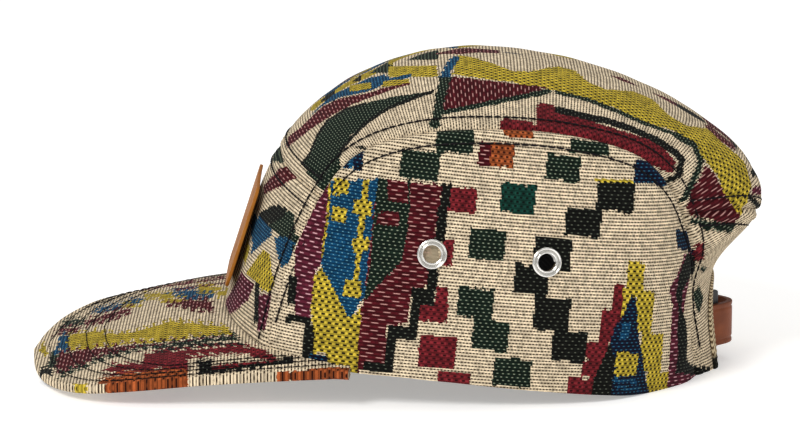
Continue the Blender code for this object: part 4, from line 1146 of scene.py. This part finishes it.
def nickel_steel():
    """Nickel-plated pressed steel: mirror-bright, with faint scuffs from handling."""
    made, tree, shader, place = new_material("pressed_nickel_steel")
    scuffs = add_node(tree, "ShaderNodeTexNoise", {"Vector": place, "Scale": 1 / (1.5 * MM),
                                                   "Detail": 4.0}).outputs[0]
    rough = add_node(tree, "ShaderNodeMapRange", {"Value": scuffs, "To Min": 0.08, "To Max": 0.26}).outputs[0]
    feed(tree, shader, {"Base Color": linear("#E4E2DD"), "Metallic": 1.0, "Roughness": rough})
    return made


def moulded_nylon():
    """Moulded nylon: black, half matt, with the mould's fine grain."""
    made, tree, shader, place = new_material("moulded_nylon")
    grain = add_node(tree, "ShaderNodeTexNoise", {"Vector": place, "Scale": 1 / (0.5 * MM)}).outputs[0]
    bump = add_node(tree, "ShaderNodeBump", {"Height": grain, "Strength": 0.3, "Distance": 0.05 * MM})
    rough = add_node(tree, "ShaderNodeMapRange", {"Value": grain, "To Min": 0.38, "To Max": 0.5}).outputs[0]
    feed(tree, shader, {"Base Color": linear("#161618"), "Normal": bump.outputs[0], "Roughness": rough})
    return made


def spun_thread():
    """Spun polyester thread: nearly black, dull, with a twist along each stitch."""
    made, tree, shader, place = new_material("spun_thread")
    twist = add_node(tree, "ShaderNodeTexNoise", {"Vector": place, "Scale": 1 / (0.4 * MM)}).outputs[0]
    tint = add_node(tree, "ShaderNodeMix", {"Factor": twist, 6: linear("#08070A"), 7: linear("#181416")},
                    data_type="RGBA").outputs[2]
    feed(tree, shader, {"Base Color": tint, "Roughness": 0.8, "Specular IOR Level": 0.12})
    return made


def backlit_acrylic():
    """Backlit white acrylic sheet: a pale, even glow under the object."""
    made, tree, shader, _ = new_material("backlit_acrylic")
    feed(tree, shader, {"Base Color": linear("#F4F3F1"), "Roughness": 0.8,
                        "Emission Color": linear("#FFFFFF"), "Emission Strength": 0.35})
    return made


# Stitches

def one_stitch(thread_width):
    """Points and faces of one stitch, lying along x and dipping into the cloth at its ends."""
    deselect()
    bpy.ops.mesh.primitive_uv_sphere_add(segments=6, ring_count=6, radius=0.5, rotation=(0, math.pi / 2, 0))
    pattern = bpy.context.object
    bpy.ops.object.transform_apply(location=True, rotation=True, scale=True)
    points = read_points(pattern.data) * (STITCH_LENGTH, thread_width, thread_width)
    points[:, 2] -= STITCH_DROP * (points[:, 0] / (STITCH_LENGTH / 2)) ** 2
    faces = [tuple(face.vertices) for face in pattern.data.polygons]
    bpy.data.objects.remove(pattern, do_unlink=True)
    return points, faces


def stitched(name, runs, pattern):
    """One piece of all the stitches that follow the runs; a run is its points and normals."""
    stitch_points, stitch_faces = pattern
    points, faces = [], []
    for line, normals in runs:
        travelled = np.concatenate([[0], np.cumsum(length_of(np.diff(line, axis=0)))])
        count = int(travelled[-1] / STITCH_PITCH)
        middles = (np.arange(count) + 0.5) * travelled[-1] / max(count, 1)
        for middle in middles:
            ends = [middle - STITCH_LENGTH / 2, middle, middle + STITCH_LENGTH / 2]
            before, here, after = (np.array([np.interp(end, travelled, line[:, part]) for part in range(3)])
                                   for end in ends)
            up = unit(np.array([np.interp(middle, travelled, normals[:, part]) for part in range(3)]))
            along = unit(after - before)
            side = unit(np.cross(up, along))
            up = np.cross(along, side)
            start = len(points) * len(stitch_points)
            points.append(here + stitch_points @ np.stack([along, side, up]))
            faces.extend(tuple(start + corner for corner in face) for face in stitch_faces)
    mesh = bpy.data.meshes.new(name)
    mesh.from_pydata(np.concatenate(points).tolist(), [], faces)
    mesh.shade_smooth()
    piece = bpy.data.objects.new(name, mesh)
    bpy.context.collection.objects.link(piece)
    return piece


def side_run(side, inset, first, last):
    place = np.linspace(first, last, 260)
    drop = np.full_like(place, 0.5)
    _, downward = side_slopes(place, drop, side)
    down = inset / length_of(downward)
    normal = side_normal(place, down, side)
    return side_surface(place, down, side) + normal * STITCH_LIFT, normal


def middle_run(side, inset, first, last):
    place = np.linspace(first, last, 260)
    across = np.full_like(place, 0.98 * side)
    _, crosswise = middle_slopes(place, across)
    across = side * (1 - inset / length_of(crosswise))
    normal = middle_normal(place, across)
    return middle_surface(place, across) + normal * STITCH_LIFT, normal


def cross_run(place_at, inset):
    """Line beside a seam that crosses the middle panels."""
    across = np.linspace(-0.95, 0.95, 200)
    place = place_at(across)
    along, _ = middle_slopes(place, across)
    place = place + inset / length_of(along)
    normal = middle_normal(place, across)
    return middle_surface(place, across) + normal * STITCH_LIFT, normal


def brim_run(from_edge):
    """Line on the brim's top that follows its edge."""
    facing = np.linspace(-1, 1, 400)
    facing = 3.9 * np.sign(facing) * np.abs(facing) ** 1.25
    edge, crown, _ = brim_rows(facing)
    inward = from_edge / length_of(crown - edge)
    point = brim_underside(facing, inward)
    point[:, 2] += BRIM_WALL + BRIM_STITCH_LIFT
    keep = inward < 0.9
    return point[keep], np.tile((0.0, 0.0, 1.0), (keep.sum(), 1))


def crown_runs():
    """Stitch lines on both sides of every seam of the crown."""
    runs = [side_run(side, STITCH_INSET, 0.9, LAST - 0.9) for side in (-1, 1)]
    runs += [middle_run(side, STITCH_INSET, 0.2, LAST - 0.3) for side in (-1, 1)]
    for seam in (lambda across: np.full_like(across, float(FRONT_SEAM)), back_seam_place):
        runs += [cross_run(seam, inset) for inset in (-STITCH_INSET, STITCH_INSET)]
    return runs


def brim_runs():
    return [brim_run(BRIM_ROW_FIRST + number * BRIM_ROW_STEP) for number in range(BRIM_ROWS)]


# Trims

def side_place_of(x, z, side):
    """Place and down of the side panel's point with this x and z."""
    place, down = np.meshgrid(np.linspace(3, 13, 400), np.linspace(0.05, 0.95, 200))
    points = side_surface(place, down, side)
    off = (points[..., 0] - x) ** 2 + (points[..., 2] - z) ** 2
    best = np.unravel_index(np.argmin(off), off.shape)
    return place[best], down[best]


def placed(piece, centre, axis):
    """Turn a piece that is modelled upright at the origin to face along an axis at a centre."""
    piece.data.transform(Matrix.Translation(Vector(centre))
                         @ Vector(axis).to_track_quat("Z", "Y").to_matrix().to_4x4())
    piece.data.update()


def eyelet(name, centre, axis):
    """Pressed ring: a rolled rim, a groove and a raised lip round the hole, with a washer inside."""
    profile = [(3.10, -2.4), (3.10, 0.85), (3.30, 1.12), (3.62, 1.12), (3.85, 0.80), (4.00, 0.42),
               (4.25, 0.42), (4.42, 0.85), (4.70, 1.22), (5.02, 1.22), (5.28, 0.90), (5.35, 0.45),
               (5.25, 0.12), (3.70, 0.12), (3.70, -1.9), (5.25, -1.9), (5.35, -2.15), (5.20, -2.4)]
    deselect()
    radius, height = profile[0]
    bpy.ops.mesh.primitive_circle_add(vertices=72, radius=radius * MM, location=(0, 0, height * MM))
    piece = bpy.context.object
    piece.name = name
    piece.data.name = name
    bpy.ops.object.transform_apply(location=True, rotation=True, scale=True)
    bpy.ops.object.mode_set(mode="EDIT")
    bpy.ops.mesh.select_mode(type="EDGE")
    bpy.ops.mesh.select_all(action="SELECT")
    for (radius, height), (wide, high) in zip(profile, profile[1:]):
        bpy.ops.mesh.extrude_region_move()
        bpy.ops.transform.translate(value=(0, 0, (high - height) * MM))
        bpy.ops.transform.resize(value=(wide / radius, wide / radius, 1), center_override=(0, 0, 0))
    close_rims()
    bpy.ops.object.mode_set(mode="OBJECT")
    piece.data.shade_smooth()
    piece.data.set_sharp_from_angle(angle=math.radians(60))
    placed(piece, centre, axis)
    return piece


def punch(panel, centre, axis, radius):
    """Hole through a cloth panel."""
    deselect()
    bpy.ops.mesh.primitive_cylinder_add(vertices=48, radius=radius, depth=10 * MM)
    cutter = bpy.context.object
    placed(cutter, centre, axis)
    cut = panel.modifiers.new("hole", "BOOLEAN")
    cut.operation = "DIFFERENCE"
    cut.solver = "FAST"
    cut.object = cutter
    apply_modifiers(panel)
    bpy.data.objects.remove(cutter, do_unlink=True)


def flat_plate(name, length, height, wall, corner, cells):
    """Flat plate on z = 0 with round corners and a softened rim; its edge takes the second material."""
    deselect()
    bpy.ops.mesh.primitive_grid_add(x_subdivisions=cells[0], y_subdivisions=cells[1], size=1.0)
    piece = bpy.context.object
    piece.name = name
    mesh = piece.data
    mesh.name = name
    points = read_points(mesh) * (length, height, 0)
    core = np.array([length / 2 - corner, height / 2 - corner])
    past = np.maximum(np.abs(points[:, :2]) - core, 0)
    turned = past * (past.max(axis=1) / np.maximum(length_of(past), 1e-9))[:, None]
    points[:, :2] = np.sign(points[:, :2]) * (np.minimum(np.abs(points[:, :2]), core) + turned)
    write_points(mesh, points)
    thick = piece.modifiers.new("wall", "SOLIDIFY")
    thick.thickness = wall
    thick.offset = 1
    rim = piece.modifiers.new("rim", "BEVEL")
    rim.width = 0.2 * wall
    rim.segments = 3
    rim.limit_method = "ANGLE"
    rim.angle_limit = math.radians(60)
    apply_modifiers(piece)
    for face in mesh.polygons:
        face.material_index = int(abs(face.normal.z) < 0.8)
    mesh.shade_smooth()
    mesh.set_sharp_from_angle(angle=math.radians(40))
    return piece


def front_patch():
    """Stiff leather plate that leans on the front panel and bends a little round it."""
    piece = flat_plate("front_patch_leather", PATCH_WIDTH, PATCH_HEIGHT, PATCH_WALL, 4 * MM, (48, 40))
    points = read_points(piece.data)
    steps = np.linspace(0, 6, 300)
    spine = middle_surface(steps, np.zeros_like(steps))
    low, top = (joined(np.interp(z, spine[:, 2], spine[:, 0]), 0, z) for z in (PATCH_LOW, PATCH_TOP))
    upward = unit(top - low)
    outward = np.cross((0, -1, 0), upward)
    stand = PATCH_STAND + points[:, 2] - PATCH_BEND * (2 * points[:, 0] / PATCH_WIDTH) ** 2
    write_points(piece.data, (low + top) / 2 + np.outer(points[:, 0], (0, -1, 0))
                 + np.outer(points[:, 1], upward) + np.outer(stand, outward))
    return piece


def strap_face(across):
    """Strap's outer face in plan, and the direction that it faces."""
    steps = np.linspace(0, 1, 120)
    skin = middle_surface(np.full_like(steps, LAST - 0.6), steps)

    def x_at(y):
        x = np.interp(np.maximum(np.abs(y), STRAP_FREE), skin[:, 1], skin[:, 0])
        return x - CLOTH_WALL - STRAP_GAP + STRAP_BOW * np.clip(1 - (y / STRAP_FREE) ** 2, 0, 1) ** 1.25

    reach = 0.1 * MM
    slope = (x_at(across + reach) - x_at(across - reach)) / (2 * reach)
    return x_at(across), unit(joined(1.0, -slope, 0.0))


def bend_to_strap(piece, middle, low, height, depth):
    """Bend a flat plate along the strap, with its back this deep behind the strap's outer face."""
    points = read_points(piece.data)
    x, out = strap_face(middle + points[:, 0])
    base = joined(x, middle + points[:, 0], low + height / 2 + points[:, 1])
    write_points(piece.data, base + out * (points[:, 2] - depth)[:, None])


def back_strap():
    """Leather strap that bows out across the opening, with a pressed line along each edge."""
    piece = flat_plate("back_strap_leather", 2 * STRAP_REACH, STRAP_HEIGHT, STRAP_WALL, 0.5 * MM, (100, 48))
    points = read_points(piece.data)
    line = near_edge(np.abs(np.abs(points[:, 1]) - STRAP_HEIGHT / 2 + 1.8 * MM), 0.4 * MM)
    points[:, 2] -= STRAP_GROOVE * line * (points[:, 2] > 0.9 * STRAP_WALL)
    write_points(piece.data, points)
    bend_to_strap(piece, 0.0, STRAP_LOW, STRAP_HEIGHT, STRAP_WALL)
    return piece


def strap_clasp():
    """Moulded slide behind the strap."""
    piece = flat_plate("strap_clasp_moulded", 7.8 * MM, 22 * MM, 1.6 * MM, 1.2 * MM, (12, 30))
    bend_to_strap(piece, -10.7 * MM, 4.9 * MM, 22 * MM, STRAP_WALL + 0.3 * MM + 1.6 * MM)
    return piece


# Section of the folded binding, in millimetres: depth from the opening's edge into the cloth
# and height over the cloth's face
BINDING_SECTION = ((4.0, 0.1), (3.9, 0.7), (3.4, 0.95), (2.0, 1.1), (0.9, 0.95), (0.2, 0.4), (0.0, -0.6),
                   (0.2, -1.6), (0.9, -2.15), (3.4, -2.15), (3.9, -1.95), (4.0, -1.4), (1.9, -1.4),
                   (1.9, 0.1), (4.0, 0.1))


def opening_binding():
    """Bias strip folded over the edge of the back opening, slightly gathered where it turns."""
    columns = len(BINDING_SECTION) - 1
    piece = flat_grid("opening_binding_cloth", 220, columns)
    mesh = piece.data
    row, column = read_floats(mesh, "row"), read_floats(mesh, "column")
    depth, height = np.moveaxis(np.array(BINDING_SECTION)[np.rint(column * columns).astype(int)] * MM, -1, 0)
    place, across = opening_curve(row, depth)
    normal = middle_normal(place, across)
    slant = row * 92 * MM + 1.2 * depth + 0.6 * height
    write_floats(mesh, "slant", slant)
    gather = 0.12 * MM * np.sin(2 * math.pi * slant / BINDING_RIB) * (height > 0.5 * MM)
    points = middle_surface(place, across) + normal * (height + gather)[:, None]
    points[:, 2] = np.maximum(points[:, 2], 0)
    write_points(mesh, points)
    bpy.ops.object.mode_set(mode="EDIT")
    close_tube()
    bpy.ops.object.mode_set(mode="OBJECT")
    mesh.shade_smooth()
    mesh.set_sharp_from_angle(angle=math.radians(70))
    return piece


def sweatband():
    """Folded tape that lies inside the crown's hem."""
    piece = flat_grid("sweatband_tape", 260, 8)
    row, column = read_floats(piece.data, "row"), read_floats(piece.data, "column")
    hem, _ = lower_edge(np.abs(2 * row - 1) * SWEATBAND_END)
    turn = np.arctan2(hem[:, 1] * np.sign(row - 0.5), hem[:, 0] - CROWN_MIDDLE_X)
    height = np.maximum(hem[:, 2], 0.3 * MM) + column * SWEATBAND_HEIGHT

    place, share = np.meshgrid(np.linspace(0, LAST, 320), np.linspace(0, 1, 70))
    low_place = place * 5 / LAST
    surfaces = [middle_surface(low_place, 2 * share - 1)]
    surfaces += [side_surface(place, share, side) for side in (-1, 1)]
    skin = np.concatenate([surface.reshape(-1, 3) for surface in surfaces])
    around = np.arctan2(skin[:, 1], skin[:, 0] - CROWN_MIDDLE_X)
    radius = np.hypot(skin[:, 1], skin[:, 0] - CROWN_MIDDLE_X)
    reach = HEM_WIDTH / 2
    tree = KDTree(len(skin))
    for number, (angle, rise) in enumerate(zip(around * reach, skin[:, 2])):
        tree.insert((angle, rise, 0), number)
    tree.balance()
    inner = np.array([np.mean([radius[number] for _, number, _ in tree.find_n((angle, rise, 0), 6)])
                      for angle, rise in zip(turn * reach, height)])
    inner -= CLOTH_WALL + SWEATBAND_GAP + SWEATBAND_WALL / 2
    write_points(piece.data, joined(CROWN_MIDDLE_X + inner * np.cos(turn), inner * np.sin(turn), height))
    wall = piece.modifiers.new("wall", "SOLIDIFY")
    wall.thickness = SWEATBAND_WALL
    wall.offset = 0
    apply_modifiers(piece)
    piece.data.shade_smooth()
    piece.data.set_sharp_from_angle(angle=math.radians(50))
    return piece


# Camera, lights and floor

def camera():
    """Camera in front of the wearer's left side, a little above it."""
    lens = bpy.data.cameras.new("camera")
    lens.lens = FOCAL_LENGTH
    lens.sensor_width = SENSOR_WIDTH
    seen = bpy.data.objects.new("camera", lens)
    bpy.context.collection.objects.link(seen)
    back = Vector((0, -math.cos(VIEW_TILT), math.sin(VIEW_TILT)))
    seen.location = VIEW_TARGET + back * VIEW_DISTANCE
    seen.rotation_euler = back.to_track_quat("Z", "Y").to_euler()
    bpy.context.scene.camera = seen


def softbox(name, place, size, power, target=(0, 0, 0.05)):
    """Round soft light that faces its target."""
    light = bpy.data.lights.new(name, "AREA")
    light.shape = "DISK"
    light.size = size
    light.energy = power
    lamp = bpy.data.objects.new(name, light)
    bpy.context.collection.objects.link(lamp)
    lamp.location = place
    lamp.rotation_euler = (Vector(place) - Vector(target)).to_track_quat("Z", "Y").to_euler()


def studio():
    softbox("key", (-0.6, -1.0, 1.0), 0.5, 13.0)
    softbox("fill", (1.0, -1.0, 0.6), 0.9, 3.0)
    softbox("top", (0.1, 0.4, 1.3), 1.0, 4.0)
    world = bpy.data.worlds.new("studio")
    world.use_nodes = True
    world.node_tree.nodes["Background"].inputs[0].default_value = linear("#FFFFFF")
    world.node_tree.nodes["Background"].inputs[1].default_value = 0.5
    bpy.context.scene.world = world
    bpy.context.scene.view_settings.view_transform = "Standard"


def floor():
    deselect()
    bpy.ops.mesh.primitive_plane_add(size=12, location=(0, 0, 0))
    ground = bpy.context.object
    ground.name = "floor"
    ground.data.materials.append(backlit_acrylic())


def stand_for(piece, node):
    """A new piece that takes a CAD node's place."""
    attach(piece, "root")
    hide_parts(node)


def dress(piece, *materials):
    piece.data.materials.clear()
    for material in materials:
        piece.data.materials.append(material)


def skin_materials(piece):
    """The inner skin takes the second material."""
    mesh = piece.data
    skin = read_floats(mesh, "skin")
    for face in mesh.polygons:
        face.material_index = int(all(skin[corner] < 0.5 for corner in face.vertices))


camera()
studio()
floor()

# Finishes
woven = jacquard("jacquard_woven_cotton", None)
reverse = jacquard("jacquard_cotton_reverse", "#B9A88C")
binding_cloth = bias_binding()
tape = twill_tape()
patch_leather = leather("tanned_leather_mustard", "#A8681A", "#8A5010", 0.6)
patch_edge = leather("cut_leather_edge", "#A06A1E", "#6E4610", 0.7)
strap_leather = leather("tanned_leather_brown", "#7C3E1E", "#5C2C14", 0.5)
strap_edge = leather("painted_leather_edge", "#2A130E", "#160906", 0.4)
steel = nickel_steel()
plastic = moulded_nylon()
thread = spun_thread()

# Middle panels and brim
for make, node, chart in ((front_panel, "front_panel", FRONT_CHART), (top_panel, "top_panel", STRIP_CHART),
                          (back_panel, "back_panel", STRIP_CHART), (brim_piece, "brim", BRIM_CHART)):
    piece, point, threads = make()
    weave(piece, point, threads, chart, mirrored=node != "brim")
    dress(piece, woven, reverse)
    if node != "brim":
        skin_materials(piece)
    stand_for(piece, node)

# Side panels with their eyelets
for side, side_name in ((-1, "left"), (1, "right")):
    panel, point, threads = side_panel(side, side_name)
    weave(panel, point, threads, SIDE_CHART, SIDE_RIB_SLOPE)
    dress(panel, woven, reverse)
    skin_materials(panel)
    for number, (x, z) in enumerate(EYELETS, start=1):
        place, down = side_place_of(x, z, side)
        centre = side_surface(place, down, side)
        axis = side_normal(place, down, side)
        punch(panel, centre, axis, EYELET_CUT)
        ring = eyelet(f"eyelet_ring_{side_name}_{number}", centre, axis)
        dress(ring, steel)
        stand_for(ring, f"eyelet_{side_name}_{number}")
    stand_for(panel, f"side_panel_{side_name}")

# Topstitching
for name, runs, width in (("crown_stitches", crown_runs(), CROWN_THREAD),
                          ("brim_stitches", brim_runs(), BRIM_THREAD)):
    stitches = stitched(name, runs, one_stitch(width))
    dress(stitches, thread)
    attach(stitches, "root")

# Trims
for make, node, slot, materials in (
        (front_patch, "front_patch", "mustard_leather", (patch_leather, patch_edge)),
        (back_strap, "back_strap", "brown_leather", (strap_leather, strap_edge)),
        (strap_clasp, "strap_clasp", "black_plastic", (plastic, plastic)),
        (opening_binding, "opening_binding", "binding_cloth", (binding_cloth,)),
        (sweatband, "sweatband", "sweatband_twill", (tape,))):
    piece = make()
    dress(piece, *materials)
    stand_for(piece, node)

deselect()
